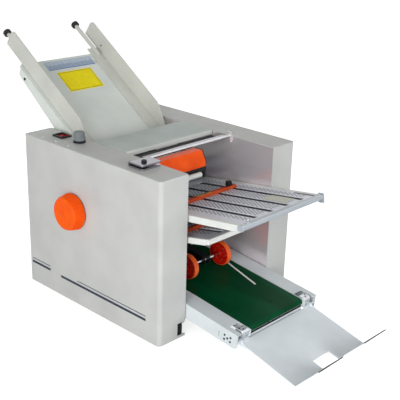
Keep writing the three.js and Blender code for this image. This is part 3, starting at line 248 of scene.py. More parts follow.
finishes = {
    "coverPaint": paintedSheet("covers_baked_warm_grey_enamel", "#C9C9C5", "#D9D9D6", "#C0C0BD", 0.42),
    "tablePaint": paintedSheet("feed_table_greenish_grey_enamel", "#E4E8E1", "#EFF2EC", "#DADFD8", 0.4),
    "guidePaint": paintedSheet("guides_light_grey_enamel", "#D6D6CD", "#E4E4DD", "#CBCCC4", 0.4),
    # drawn darker than the table's enamel: painted shade on the lid's top face
    "lidPaintWithShade": paintedSheet("lid_green_grey_enamel_painted_shade", "#C0C8C3", "#E2E8E2", "#B5BDB8", 0.42),
    "railPaint": paintedSheet("plate_rails_cream_enamel", "#E6E7E1", "#F3F3EE", "#DADBD5", 0.4),
    "conveyorPaint": paintedSheet("conveyor_pale_grey_enamel", "#DDE3E4", "#ECF0F1", "#D2D8D9", 0.4),
    "trayPaint": paintedSheet("catch_tray_cool_grey_enamel", "#EAF0F2", "#F4F8FA", "#DEE4E7", 0.36),
    "plateSteel": brushedSteel("fold_plate_brushed_stainless", "#F0F2F7", "#D6DAE2", 0.36, metallic=0.2),
    # the pale pink in these colours is painted reflection of the orange guard on the frames' inner walls; the
    # plated steel itself is grey
    "frameSteelPaintedReflection": brushedSteel("frames_zinc_steel_painted_pink_reflection", "#F8EFF0", "#EEE5E8", 0.24, 2.0,
                               metallic=0.62, spread=0.01),
    "barSteel": brushedSteel("front_bar_satin_nickel_steel", "#C3C9CE", "#AEB5BB", 0.4,
                             stretch=(60, 1, 1), metallic=0.45),
    "rollerSteel": brushedSteel("rollers_turned_steel", "#B4B8BC", "#84898E", 0.32, stretch=(60, 1, 1)),
    # a stainless made dark as painted shade: the hollows of the pressed dots, and the lower deck seen through
    # the slots
    "paintedShadeSteel": brushedSteel("deck_dimples_painted_shade_stainless", "#6C707A", "#4E525B", 0.4, metallic=0.3),
    "brightSteel": polishedSteel("bars_hard_chromed_steel", "#E6E8EA", 0.08),
    "adjusterSteel": polishedSteel("adjuster_plate_polished_steel", "#A5A2A8", 0.2),
    "screwSteel": polishedSteel("screws_bright_zinc", "#C9CCCE", 0.22),
    "brass": polishedSteel("stop_scale_strip_brass", "#D2A43A", 0.3),
    "orangePlastic": mouldedPlastic("hand_wheel_orange_moulded_abs", "#FF6400", "#F65600", 0.5),
    "guardPlastic": mouldedPlastic("roller_guard_orange_moulded_abs", "#FF5C0C", "#EE4C00", 0.34),
    "stopPlastic": mouldedPlastic("fold_stops_orange_moulded_nylon", "#D5592A", "#B03A14", 0.4),
    "wheelPlastic": mouldedPlastic("press_wheels_red_moulded_nylon", "#E0220C", "#C41206", 0.2),
    "treadRubber": mouldedPlastic("press_wheel_orange_urethane_tread", "#F5763C", "#E85A20", 0.4),
    "rollerUrethane": mouldedPlastic("fold_rollers_grey_cast_urethane", "#A6ABB0", "#8C9197", 0.42),
    "knobPlastic": mouldedPlastic("speed_knob_grey_moulded_phenolic", "#8E9294", "#6C7072", 0.4),
    "blackPlastic": mouldedPlastic("switch_and_caps_black_moulded_abs", "#1C1D20", "#121315", 0.42),
    "rockerPlastic": mouldedPlastic("rocker_dark_red_polycarbonate", "#B00E1E", "#7A0812", 0.24, 1.58),
    "blackPaint": paintedSheet("brackets_black_enamel", "#131416", "#3A3C3F", "#1C1D20", 0.34),
    "motorPaint": paintedSheet("motor_black_stoved_enamel", "#1B1C1E", "#404244", "#262729", 0.45),
    "rubber": blackRubber("feet_and_belts_black_rubber", "#101012", "#2A2A2B"),
    "beltGreen": beltCover("conveyor_belt_green_pvc", "#003B1F", "#014C2C", "#08522F"),
    "yellowCard": printedCard("blank_notice_card_yellow", "#FFEE00", "#F6DE00"),
    "cardBorder": printedCard("notice_card_border_olive", "#8A7C14", "#7A6C10"),
    "paleCard": printedCard("size_card_cream", "#DEDECF", "#D2D2C2"),
    "paleBlue": printedCard("ruled_scale_pale_blue_ground", "#C6D2DE", "#B6C4D2"),
    "blueInk": printedCard("ruled_scale_blue_ink", "#4E709C", "#6280A8"),
    "darkInk": printedCard("cover_stripe_dark_blue_film", "#3B4252", "#2F3646", 0.35),
    "castZinc": castAlloy("bearing_blocks_die_cast_zinc", "#E2E5E8", "#C2C6CA", 0.4),
}
print("materials ready:", len(finishes))


# meshes

def asPiece(name, bm):
    mesh = bpy.data.meshes.new(name)
    bm.to_mesh(mesh)
    bm.free()
    piece = bpy.data.objects.new(name, mesh)
    scene.collection.objects.link(piece)
    return piece


def newPiece(name, bm, place=Matrix.Identity(4), weld=1e-3):
    # bm is in millimetres in the frame of place
    bmesh.ops.remove_doubles(bm, verts=bm.verts, dist=weld)
    bmesh.ops.recalc_face_normals(bm, faces=bm.faces)
    bm.transform(place @ Matrix.Scale(mm, 4))
    return asPiece(name, bm)


def settle(piece):
    # the modifiers' result becomes the piece's own plain mesh
    graph = bpy.context.evaluated_depsgraph_get()
    mesh = bpy.data.meshes.new_from_object(piece.evaluated_get(graph), preserve_all_data_layers=True,
                                           depsgraph=graph)
    piece.modifiers.clear()
    piece.data = mesh


def softened(piece, widthMm, segments=2, angle=50):
    # rounds the hard edges and marks the new faces, where the finish wears first
    for _ in range(2):
        piece.data.materials.append(finishes["screwSteel"])
    bevel = piece.modifiers.new("edges", "BEVEL")
    bevel.width = widthMm * mm
    bevel.segments = segments
    bevel.limit_method = "ANGLE"
    bevel.angle_limit = math.radians(angle)
    bevel.material = 1
    bevel.use_clamp_overlap = True
    settle(piece)
    piece.data.shade_smooth()
    even = piece.modifiers.new("shading", "WEIGHTED_NORMAL")
    even.keep_sharp = True
    settle(piece)
    mesh = piece.data
    share = mesh.attributes.new("edgeShare", "FLOAT", "FACE")
    share.data.foreach_set("value", [float(face.material_index) for face in mesh.polygons])
    mesh.polygons.foreach_set("material_index", [0] * len(mesh.polygons))
    mesh.materials.clear()
    return piece


def rounded(piece, angle=35):
    piece.data.shade_smooth()
    piece.data.set_sharp_from_angle(angle=math.radians(angle))
    return piece


def dress(piece, finish, slot, *nodes, body="chassis"):
    piece.data.materials.clear()
    piece.data.materials.append(finishes[finish])
    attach(piece, body)
    if nodes:
        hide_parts(*nodes)


def addFlat(name, bm, place, finish, slot, *nodes, body="chassis", edge=0, weld=1e-3):
    # a piece with flat faces, its edges rounded by that many millimetres if any
    piece = newPiece(name, bm, place, weld)
    dress(softened(piece, edge) if edge else piece, finish, slot, *nodes, body=body)


def addTurned(name, bm, place, finish, slot, *nodes, body="chassis", sharpFrom=35):
    dress(rounded(newPiece(name, bm, place), sharpFrom), finish, slot, *nodes, body=body)


def addCopy(node, name, finish, slot, edge=0.5, segments=2, body="chassis"):
    # the node's own shape, merged and with its flat sides whole, so that its edges can be rounded
    bm = bmesh.new()
    bm.from_mesh(frame["nodes"][node].data)
    bmesh.ops.remove_doubles(bm, verts=bm.verts, dist=2e-6)
    bmesh.ops.dissolve_limit(bm, angle_limit=math.radians(0.6), verts=bm.verts, edges=bm.edges)
    dress(softened(asPiece(name, bm), edge, segments), finish, slot, node, body=body)


def prism(points, low, high, axis="x"):
    # a flat outline pushed along an axis: (y, z) along x, (z, x) along y, (x, y) along z
    bm = bmesh.new()
    ends = [[bm.verts.new({"x": (w, u, v), "y": (v, w, u), "z": (u, v, w)}[axis]) for u, v in points]
            for w in (low, high)]
    bm.faces.new(list(reversed(ends[0])))
    bm.faces.new(ends[1])
    for i in range(len(points)):
        j = (i + 1) % len(points)
        bm.faces.new((ends[0][i], ends[0][j], ends[1][j], ends[1][i]))
    return bm


def brick(x0, x1, y0, y1, z0, z1):
    return prism([(x0, y0), (x1, y0), (x1, y1), (x0, y1)], z0, z1, "z")


def arcPoints(u, v, radius, start, sweep, steps):
    angles = [math.radians(start + sweep * i / steps) for i in range(steps + 1)]
    return [(u + radius * math.cos(angle), v + radius * math.sin(angle)) for angle in angles]


def roundCorners(u0, u1, v0, v1, radius, steps):
    u0, u1, v0, v1 = u0 + radius, u1 - radius, v0 + radius, v1 - radius
    points = []
    for u, v, start in ((u1, v0, -90), (u1, v1, 0), (u0, v1, 90), (u0, v0, 180)):
        points += arcPoints(u, v, radius, start, 90, steps)
    return points


def turnedSolid(profile, segments=40, axis="x", closed=False):
    # profile is (place along the axis, radius); it starts and ends on the axis unless it is closed
    bm = bmesh.new()
    rings = []
    for along, radius in profile:
        ring = []
        for i in range(segments if radius > 1e-6 else 1):
            angle = 2 * math.pi * i / segments
            u, v = radius * math.cos(angle), radius * math.sin(angle)
            ring.append(bm.verts.new({"x": (along, u, v), "y": (u, along, v), "z": (u, v, along)}[axis]))
        rings.append(ring)
    pairs = list(zip(rings, rings[1:])) + ([(rings[-1], rings[0])] if closed else [])
    for first, second in pairs:
        for i in range(segments):
            j = (i + 1) % segments
            corners = [first[i % len(first)], first[j % len(first)],
                       second[j % len(second)], second[i % len(second)]]
            corners = list(dict.fromkeys(corners))
            if len(corners) > 2:
                bm.faces.new(corners)
    return bm


def shaft(low, high, radius, chamfer=0.8):
    return turnedSolid([(low, 0), (low, radius - chamfer), (low + chamfer, radius), (high - chamfer, radius),
                        (high, radius - chamfer), (high, 0)])


def joined(parts):
    # one mesh from several closed ones that stay separate shells
    whole = bmesh.new()
    for part in parts:
        mesh = bpy.data.meshes.new("part")
        part.to_mesh(mesh)
        part.free()
        whole.from_mesh(mesh)
        bpy.data.meshes.remove(mesh)
    return whole


def manyTurned(profile, spots, segments, closed=True):
    # the same turned shape at each spot
    parts = [turnedSolid(profile, segments, "x", closed) for _ in spots]
    for part, spot in zip(parts, spots):
        part.transform(Matrix.Translation(spot))
    return joined(parts)


def ringOf(count, radius, along, axis="z"):
    # that many spots evenly round an axis
    turns = [2 * math.pi * i / count for i in range(count)]
    spots = [(radius * math.cos(turn), radius * math.sin(turn)) for turn in turns]
    return [(along, u, v) if axis == "x" else (u, v, along) for u, v in spots]


# geometry node trees for what repeats

def startTree(name, inputs):
    tree = bpy.data.node_groups.new(name, "GeometryNodeTree")
    for label, kind in (("Geometry", "Geometry"), *inputs, ("Material", "Material")):
        tree.interface.new_socket(label, in_out="INPUT", socket_type="NodeSocket" + kind)
    tree.interface.new_socket("Geometry", in_out="OUTPUT", socket_type="NodeSocketGeometry")
    return tree, addNode(tree, "NodeGroupInput").outputs


def endTree(tree, entry, shape):
    # the shape on every point, turned as the point's own attribute says, made real and given its finish
    turn = addNode(tree, "GeometryNodeInputNamedAttribute", {"data_type": "QUATERNION", "Name": "turn"})
    spots = addNode(tree, "GeometryNodeMeshToPoints", None, {"Mesh": entry["Geometry"]})
    copies = addNode(tree, "GeometryNodeInstanceOnPoints", None,
                     {"Points": spots, "Instance": shape, "Rotation": turn.outputs["Attribute"]})
    real = addNode(tree, "GeometryNodeRealizeInstances", None, {"Geometry": copies})
    painted = addNode(tree, "GeometryNodeSetMaterial", None,
                      {"Geometry": real, "Material": entry["Material"]})
    addNode(tree, "NodeGroupOutput", None, {"Geometry": painted})
    return tree


def screwTree():
    # a pan head that stands on +Z: a domed disc with a cross recess cut into it
    tree, entry = startTree("cross_recess_screws", [("Head radius", "Float"), ("Head height", "Float")])
    shares = (("Head height", 0.5), ("Head radius", 0.72), ("Head radius", 1.1), ("Head radius", 0.26),
              ("Head height", 2.0))
    skirt, crown, slotLength, slotWidth, slotDepth = [
        addNode(tree, "ShaderNodeMath", {"operation": "MULTIPLY", 1: factor}, {0: entry[label]})
        for label, factor in shares]
    head = addNode(tree, "GeometryNodeMeshCone", {"Vertices": 28, "Fill Segments": 1},
                   {"Radius Top": crown, "Radius Bottom": entry["Head radius"], "Depth": skirt})
    raised = addNode(tree, "ShaderNodeCombineXYZ", None, {"Z": skirt})
    dome = addNode(tree, "GeometryNodeTransform", None, {"Geometry": head, "Translation": raised})
    rim = addNode(tree, "GeometryNodeMeshCylinder", {"Vertices": 28},
                  {"Radius": entry["Head radius"], "Depth": entry["Head height"]})
    whole = addNode(tree, "GeometryNodeMeshBoolean", {"operation": "UNION", "solver": "EXACT"},
                    {1: (dome, rim)})
    cutters = []
    for first, second in ((slotLength, slotWidth), (slotWidth, slotLength)):
        size = addNode(tree, "ShaderNodeCombineXYZ", None, {"X": first, "Y": second, "Z": slotDepth})
        slot = addNode(tree, "GeometryNodeMeshCube", None, {"Size": size})
        lift = addNode(tree, "ShaderNodeCombineXYZ", None, {"Z": slotDepth})
        cutters.append(addNode(tree, "GeometryNodeTransform", None, {"Geometry": slot, "Translation": lift}))
    recess = addNode(tree, "GeometryNodeMeshBoolean", {"operation": "DIFFERENCE", "solver": "EXACT"},
                     {0: whole, 1: tuple(cutters)})
    return endTree(tree, entry, recess)


def barTree():
    # a straight bar along Z on every point: ribs, flutes, knurls and pressed dots
    tree, entry = startTree("bars", [("Width", "Float"), ("Thickness", "Float"), ("Length", "Float"),
                                     ("Sides", "Int")])
    bar = addNode(tree, "GeometryNodeMeshCylinder", {"Radius": 0.5},
                  {"Vertices": entry["Sides"], "Depth": entry["Length"]})
    scale = addNode(tree, "ShaderNodeCombineXYZ", {"Z": 1.0},
                    {"X": entry["Width"], "Y": entry["Thickness"]})
    sized = addNode(tree, "GeometryNodeTransform", None, {"Geometry": bar, "Scale": scale})
    return endTree(tree, entry, sized)


def blockTree():
    # a small block about every point, for the ruled marks
    tree, entry = startTree("blocks", [("Size", "Vector")])
    return endTree(tree, entry, addNode(tree, "GeometryNodeMeshCube", None, {"Size": entry["Size"]}))


repeatTrees = {"screws": screwTree(), "bars": barTree(), "blocks": blockTree()}


def pointsOn(place, spots, facing=0):
    # spots are millimetres in the frame of place, facing turns each one there about Y, in degrees
    places = [shifted(place, *spot) @ Matrix.Rotation(math.radians(facing), 4, "Y") for spot in spots]
    return [(matrix.translation, matrix.to_quaternion()) for matrix in places]


def addRepeats(name, treeName, points, values, finish, slot, body="chassis"):
    # points are (place, quaternion); the tree puts its shape on each of them
    mesh = bpy.data.meshes.new(name)
    mesh.from_pydata([place for place, _ in points], [], [])
    turns = mesh.attributes.new("turn", "QUATERNION", "POINT")
    turns.data.foreach_set("value", [part for _, turn in points for part in turn])
    piece = bpy.data.objects.new(name, mesh)
    scene.collection.objects.link(piece)
    modifier = piece.modifiers.new("repeats", "NODES")
    tree = repeatTrees[treeName]
    modifier.node_group = tree
    sockets = {item.name: item.identifier for item in tree.interface.items_tree
               if item.item_type == "SOCKET" and item.in_out == "INPUT"}
    for label, value in {**values, "Material": finishes[finish]}.items():
        modifier[sockets[label]] = value
    settle(piece)
    dress(rounded(piece), finish, slot, body=body)


def addScrews(name, points, radius, height, finish="screwSteel", body="chassis"):
    addRepeats(name, "screws", points, {"Head radius": radius * mm, "Head height": height * mm},
               finish, "bright_steel", body)


def addBars(name, points, size, finish, slot, body="chassis"):
    # size is width, thickness, length and how many sides
    width, thickness, length, count = size
    addRepeats(name, "bars", points, {"Width": width * mm, "Thickness": thickness * mm,
                                      "Length": length * mm, "Sides": count}, finish, slot, body)


# camera, light and floor
cameraSettings = {"lens": 74.806, "fromCover": (-1.2938, -1.3345, 1.1145), "yaw": 0.82026,
                  "pitch": 0.362146, "roll": 0.03023}


def makeCamera(settings):
    yaw, pitch, roll = settings["yaw"], settings["pitch"], settings["roll"]
    ahead = Vector((math.sin(yaw) * math.cos(pitch), math.cos(yaw) * math.cos(pitch), -math.sin(pitch)))
    right = Vector((math.cos(yaw), -math.sin(yaw), 0))
    up = right.cross(ahead)
    level = math.cos(roll) * right + math.sin(roll) * up
    upright = -math.sin(roll) * right + math.cos(roll) * up
    data = bpy.data.cameras.new("camera")
    data.lens = settings["lens"]
    data.sensor_width = 36
    data.clip_end = 50
    camera = bpy.data.objects.new("camera", data)
    scene.collection.objects.link(camera)
    matrix = Matrix((level, upright, -ahead)).transposed().to_4x4()
    matrix.translation = Vector((coverLow.x, coverLow.y, 0)) + Vector(settings["fromCover"])
    camera.matrix_world = matrix
    scene.camera = camera


makeCamera(cameraSettings)

lamps = {
    # where each soft panel hangs (metres), its side, its power in watts and its tint
    "left_panel": {"at": (-2.8, -1.2, 0.8), "side": 1.8, "power": 66, "tint": "#FAFCFF"},
    "front_panel": {"at": (0.4, -3.0, 1.1), "side": 1.6, "power": 37, "tint": "#F8FBFF"},
    "rear_panel": {"at": (0.2, 3.2, 1.5), "side": 1.6, "power": 25, "tint": "#F4FFFB"},
    "right_panel": {"at": (3.0, 0.1, 1.0), "side": 1.4, "power": 12, "tint": "#FFFFFF"},
}
aimHeight = 0.25  # metres over the floor, where all the panels face
for lampName, lamp in lamps.items():
    data = bpy.data.lights.new(lampName, "AREA")
    data.shape = "SQUARE"
    data.size = lamp["side"]
    data.energy = lamp["power"]
    data.color = linear(lamp["tint"])[:3]
    panel = bpy.data.objects.new(lampName, data)
    scene.collection.objects.link(panel)
    panel.location = lamp["at"]
    aim = Vector((0, 0, aimHeight)) - panel.location
    panel.rotation_euler = aim.to_track_quat("-Z", "Y").to_euler()

surroundings = {"skyLevel": 0.3, "floorColour": "#E8E8E8", "floorCloud": "#E6E6E6", "floorLift": 0.78,
                "floorSize": 30}


def makeWorld(settings):
    # white to the camera and in reflections, dimmer as a light
    world = bpy.data.worlds.new("studio")
    world.use_nodes = True
    tree = world.node_tree
    tree.nodes.clear()
    rays = addNode(tree, "ShaderNodeLightPath").outputs
    shown = addNode(tree, "ShaderNodeMath", {"operation": "MAXIMUM"},
                    {0: rays["Is Camera Ray"], 1: rays["Is Glossy Ray"]})
    both = addNode(tree, "ShaderNodeMath", {"operation": "MAXIMUM"},
                   {0: shown, 1: rays["Is Transmission Ray"]})
    level = addNode(tree, "ShaderNodeMapRange", {"To Min": settings["skyLevel"], "To Max": 1.0},
                    {"Value": both})
    sky = addNode(tree, "ShaderNodeBackground", {"Color": (1, 1, 1, 1)}, {"Strength": level})
    addNode(tree, "ShaderNodeOutputWorld", None, {"Surface": sky})
    scene.world = world


def makeFloor(settings):
    # pale matt paper: it shows white to the camera and keeps the machine's shadow
    material = makeFinish("floor_white_matt_paper", 0.9, {"Specular IOR Level": 0.1},
                          settings["floorColour"], [(settings["floorCloud"], (200, 3), (0, 1))])
    tree = material.node_tree
    rays = addNode(tree, "ShaderNodeLightPath")
    lift = addNode(tree, "ShaderNodeMath", {"operation": "MULTIPLY", 1: settings["floorLift"]},
                   {0: rays.outputs["Is Camera Ray"]})
    glow = addNode(tree, "ShaderNodeEmission", {"Color": (1, 1, 1, 1)}, {"Strength": lift})
    both = addNode(tree, "ShaderNodeAddShader", None, {0: tree.nodes["Principled BSDF"], 1: glow})
    tree.links.new(both.outputs[0], tree.nodes["Material Output"].inputs["Surface"])
    half = settings["floorSize"] / 2 * 1000
    bm = bmesh.new()
    bm.faces.new([bm.verts.new(corner) for corner in
                  ((-half, -half, 0), (half, -half, 0), (half, half, 0), (-half, half, 0))])
    floor = newPiece("floor", bm)
    floor.data.materials.append(material)


makeWorld(surroundings)
makeFloor(surroundings)
scene.view_settings.view_transform = "Standard"
print("camera, light and floor ready")


# Covers: the side shells, the screws on the left one's top, and the film stripes on its side
coverDetails = {
    "edge": 0.7,
    "screws": [(-241, 208, 452), (-241, 151, 452), (-241, 98, 452)],
    "screwHead": (3.4, 1.4),
    # each stripe runs from y to y at that height, and is twice that wide
    "stripes": [(175, 261, 66, 3.6), (175, 259, 77, 1.1), (-226, 126, 63, 3.6), (-226, 52, 74, 1.1)],
    "film": (-260.35, -260.05),
}
for side, _ in sides:
    addCopy(side + "_cover", side + "_side_cover", "coverPaint", "cover_grey", coverDetails["edge"])
addScrews("left_cover_top_screws", pointsOn(machine, coverDetails["screws"]), *coverDetails["screwHead"])
for number, (yLow, yHigh, z, half) in enumerate(coverDetails["stripes"], 1):
    addFlat(f"left_cover_stripe_{number}", brick(*coverDetails["film"], yLow, yHigh, z - half, z + half),
            machine, "darkInk", "black")

# Rubber feet, each with a moulded groove
footDetails = {"radius": 14, "height": 38, "x": 178, "y": 258, "groove": 1.2}
r, h, g = footDetails["radius"], footDetails["height"], footDetails["groove"]
footProfile = [(0, 0), (0, r - 3), (1.2, r - 1), (3, r), (h - 8, r), (h - 7.4, r - g), (h - 5.6, r - g),
               (h - 5, r), (h - 1.5, r), (h, r - 1.5), (h, 0)]
for side, sign in sides:
    for end, direction in (("front", -1), ("rear", 1)):
        node = f"{side}_{end}_foot"
        addTurned(node + "_rubber", turnedSolid(footProfile, 48, "z"),
                  placeAt(sign * footDetails["x"], direction * footDetails["y"], 0), "rubber", "rubber", node)
print("covers and feet ready")

# Frames, pan and the rods between them, with the flanged bearings of the rollers
rollerSizes = {"top": 325, "offset": 9, "step": 42, "count": 6, "feed": (402, 26)}
rollerRise = math.sqrt(rollerSizes["step"] ** 2 - (2 * rollerSizes["offset"]) ** 2)
rollerSpots = [(rollerSizes["offset"] * (1 if i % 2 == 0 else -1), rollerSizes["top"] - i * rollerRise)
               for i in range(rollerSizes["count"])]
# the feed roller lies that far down the table and that far above it
(down, above), slope = rollerSizes["feed"], math.radians(feedTable["slope"])
feedRollerSpot = (feedTable["y"] - down * math.cos(slope) - above * math.sin(slope),
                  feedTable["z"] - down * math.sin(slope) + above * math.cos(slope))
for side, _ in sides:
    addCopy(side + "_frame", side + "_side_frame", "frameSteelPaintedReflection", "steel")
bearing = {"outer": 13, "inner": 7.2, "thickness": 2.6, "face": 166.8, "chamfer": 0.8}
o, i, c = bearing["outer"], bearing["inner"], bearing["chamfer"]
for side, sign in sides:
    low, high = across(sign, bearing["face"], bearing["face"] - bearing["thickness"])
    flange = [(low, i), (low, o - c), (low + c, o), (high - c, o), (high, o - c), (high, i)]
    spots = [(0, y, z) for y, z in rollerSpots + [feedRollerSpot]]
    addTurned(side + "_flanged_bearings", manyTurned(flange, spots, 40), machine, "screwSteel",
              "bright_steel")
addCopy("base_pan", "bottom_pan", "frameSteelPaintedReflection", "steel", 0.6)
for node, name in (("tie_bar", "cross_tie_rod"), ("lid_rod", "lid_hinge_rod")):
    low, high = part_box(node)
    half = (high - low) / 2 / mm
    addTurned(name, shaft(-half.x, half.x, half.z), Matrix.Translation((low + high) / 2), "rollerSteel",
              "steel", node)
# the bar and its sheet lie a little lower than in the solids, so that the lid's front, with its pale strip of
# painted highlight, shows
topBar = {"y": -115, "z": 449.5, "x": (-153, 161), "radius": 3.6, "gap": (-93, -49, 437, 438.5),
          "sheet": ((-112.5, 452), (-93, 449.4), (-93, 447.9), (-112.5, 450.5)), "edge": 0.3}
addTurned("front_silver_bar", shaft(*topBar["x"], topBar["radius"]), placeAt(0, topBar["y"], topBar["z"]),
          "brightSteel", "bright_steel", "top_bar")
addFlat("front_bar_polished_sheet", prism(topBar["sheet"], *topBar["x"]), machine, "adjusterSteel",
        "bright_steel", edge=topBar["edge"])
# a black strip under the lid's front: painted shadow of the lid's lower edge
addFlat("painted_shadow_gap_strip", brick(*topBar["x"], *topBar["gap"]), machine, "rubber", "black",
        edge=topBar["edge"])
print("frames ready")

# Top of the machine: guard, deflector, adjuster and lid
addCopy("paper_deflector", "black_deflector_sheet", "blackPaint", "black")
addCopy("roller_guard", "orange_roller_guard", "guardPlastic", "orange")
guardParts = {
    "cheek": [(-122, 405), (-163, 405), (-167.5, 414.5), (-151, 448), (-122, 448)],
    "cheekX": (15.4, 17.8),
    "knobAt": (13, -157),
    # from below upwards: (height, radius)
    "knob": [(375, 0), (375, 6.5), (376.5, 8), (389, 8), (390.5, 6.5), (390.5, 3.4), (400.6, 3.4),
             (400.6, 0)],
    "rodX": (-166.5, -10), "rodAt": (-172, 389), "rodRadius": 7, "rodChamfer": 1.4,
}
addFlat("guard_black_cheek", prism(guardParts["cheek"], *guardParts["cheekX"]), machine, "blackPaint",
        "black", edge=0.5)
addTurned("guard_black_thumb_knob", turnedSolid(guardParts["knob"], 40, "z"),
          placeAt(*guardParts["knobAt"], 0), "blackPlastic", "black")
stayRod = shaft(*guardParts["rodX"], guardParts["rodRadius"], guardParts["rodChamfer"])
addTurned("guard_pale_stay_rod", stayRod, placeAt(0, *guardParts["rodAt"]), "railPaint", "light_plastic")
addCopy("adjuster_plate", "polished_adjuster_plate", "adjusterSteel", "bright_steel")
adjusterKnob = {"radius": 6.6, "height": 5.4, "at": (-214, -168, 466.6), "stem": 19.4, "knurls": 30,
                "knurl": 1.3}
knobPlace = placeAt(*adjusterKnob["at"])
h, r, stem = adjusterKnob["height"], adjusterKnob["radius"], adjusterKnob["stem"]
knobProfile = [(-stem, 0), (-stem, 3.2), (1 - stem, 4), (0, 4), (0, r), (1, r + 0.4), (h - 1, r + 0.4),
               (h, r - 0.6), (h, 5.2), (h - 0.8, 4.6), (h - 0.8, 0)]
addTurned("adjuster_knurled_knob", turnedSolid(knobProfile, 48, "z"), knobPlace, "blackPlastic", "black",
          "adjuster_screw", body="adjuster_screw")
addBars("adjuster_knob_knurls", pointsOn(knobPlace, ringOf(adjusterKnob["knurls"], r, h / 2)),
        (adjusterKnob["knurl"], adjusterKnob["knurl"], h - 2.4, 6), "blackPlastic", "black",
        "adjuster_screw")
addCopy("top_lid", "hinged_top_lid", "lidPaintWithShade", "table_grey", 0.6, body="top_lid")
lidHighlight = {"ends": 0.6, "thickness": 0.9, "under": 0.4, "over": 1.2, "edge": 0.3}
low, high = boxOf("top_lid")
# a pale strip on the lid's front face: painted highlight where the front lamp falls on it
addFlat("lid_front_painted_highlight_strip", brick(low.x + lidHighlight["ends"], high.x - lidHighlight["ends"],
                                      low.y - lidHighlight["thickness"], low.y - 0.02,
                                      low.z + lidHighlight["under"], high.z - lidHighlight["over"]),
        machine, "railPaint", "table_grey", body="top_lid", edge=lidHighlight["edge"])
print("top ready")

# Controls on the left cover: rocker switch and fluted speed knob
addCopy("switch_frame", "switch_black_frame", "blackPlastic", "black", 0.5, 3)
addCopy("power_switch", "switch_dark_red_rocker", "rockerPlastic", "maroon", 0.7, 3, "power_switch")
speedKnob = {"at": (-198, 107, 452.3), "stem": 17, "skirt": 17, "grip": 14.2, "height": 30, "flutes": 24,
             "flute": 1.9, "ring": 11}
dialPlace = placeAt(*speedKnob["at"])
s, g, h, r = speedKnob["skirt"], speedKnob["grip"], speedKnob["height"], speedKnob["ring"]
stem = speedKnob["stem"]
skirt = [(-stem, 0), (-stem, 4), (0, 4), (0, s - 1), (1, s), (4.6, s), (6, s - 1.6), (6, 0)]
grip = [(6.05, 0), (6.05, g), (h - 2, g - 0.8), (h - 0.6, g - 1.6), (h - 0.6, r + 0.6), (h - 1.4, r),
        (h - 1.4, 0)]
disc = [(h - 1.35, 0), (h - 1.35, r - 0.6), (h - 0.4, r - 1), (h, r - 2.2), (h, 0)]
groove = [(h - 1.38, r - 2), (h - 0.9, r - 1.8), (h - 0.9, r + 1), (h - 1.38, r + 1)]
addTurned("speed_knob_black_skirt", turnedSolid(skirt, 64, "z"), dialPlace, "blackPlastic", "knob_grey",
          "speed_knob", body="speed_knob")
addTurned("speed_knob_grey_grip", turnedSolid(grip, 64, "z"), dialPlace, "knobPlastic", "knob_grey",
          body="speed_knob")
addTurned("speed_knob_top_disc", turnedSolid(disc, 48, "z"), dialPlace, "knobPlastic", "knob_grey",
          body="speed_knob")
addTurned("speed_knob_dark_ring", turnedSolid(groove, 48, "z", True), dialPlace, "blackPlastic", "black",
          body="speed_knob")
addBars("speed_knob_ribs", pointsOn(dialPlace, ringOf(speedKnob["flutes"], g, 6.5 + (h - 9) / 2)),
        (speedKnob["flute"], speedKnob["flute"], h - 9, 8), "knobPlastic", "knob_grey", "speed_knob")
addFlat("speed_knob_pointer", brick(-0.8, 0.8, 3.5, r - 2.4, h + 0.02, h + 0.3), dialPlace, "darkInk",
        "black", body="speed_knob")
print("controls ready")

# Hand wheel: a ribbed rim that tapers to a shallow face, and a capped hub
handWheel = {"at": (-263, 55.92, 283.197), "depth": 35, "radius": 50, "ribs": 48, "rib": (3.2, 2.6),
             "dish": 1.4, "taper": 5}
wheelPlace = placeAt(*handWheel["at"])
r, d, dish, t = handWheel["radius"], handWheel["depth"], handWheel["dish"], handWheel["taper"]
f = r - t  # the radius of the face
wheelProfile = [(-0.2, 0), (-0.2, 6), (-2, 14), (-6, 16), (-6, r - 10), (0, r - 8), (0, r - 2.5),
                (-0.8, r - 0.8), (-2.5, r), (-d + 5, f), (-d + 2.4, f - 0.8), (-d + 0.7, f - 2.5),
                (-d, f - 5), (-d, f - 9), (-d + dish * 0.5, f - 10.5), (-d + dish, f - 12.5), (-d + dish, 15),
                (-d + dish * 0.6, 13.4), (-d + 0.2, 12.5), (-d + 0.2, 7.6), (-d + 1, 7), (-d + 1, 0)]
addTurned("orange_hand_wheel", turnedSolid(wheelProfile, 96), wheelPlace, "orangePlastic", "orange",
          "hand_wheel", body="hand_wheel")
# each rib leans with the taper of the rim
lean = Matrix.Rotation(math.radians(90) - math.atan2(t, d - 7.5), 4, "Y")
outward = Matrix.Translation(Vector((-d / 2 + 1.2, 0, r - t / 2)) * mm)
ribs = []
for i in range(handWheel["ribs"]):
    matrix = wheelPlace @ Matrix.Rotation(2 * math.pi * i / handWheel["ribs"], 4, "X") @ outward @ lean
    ribs.append((matrix.translation, matrix.to_quaternion()))
addBars("hand_wheel_rim_ribs", ribs, (*handWheel["rib"], d - 9, 8), "orangePlastic", "orange", "hand_wheel")
capProfile = [(-d + 1.05, 0), (-d + 1.05, 6.6), (-d + 0.4, 6.2), (-d + 0.1, 5), (-d + 0.05, 0)]
addTurned("hand_wheel_hub_cap", turnedSolid(capProfile), wheelPlace, "orangePlastic", "orange",
          body="hand_wheel")
addCopy("hand_wheel_shaft", "hand_wheel_steel_shaft", "rollerSteel", "steel", 0.4, body="hand_wheel")
print("hand wheel ready")

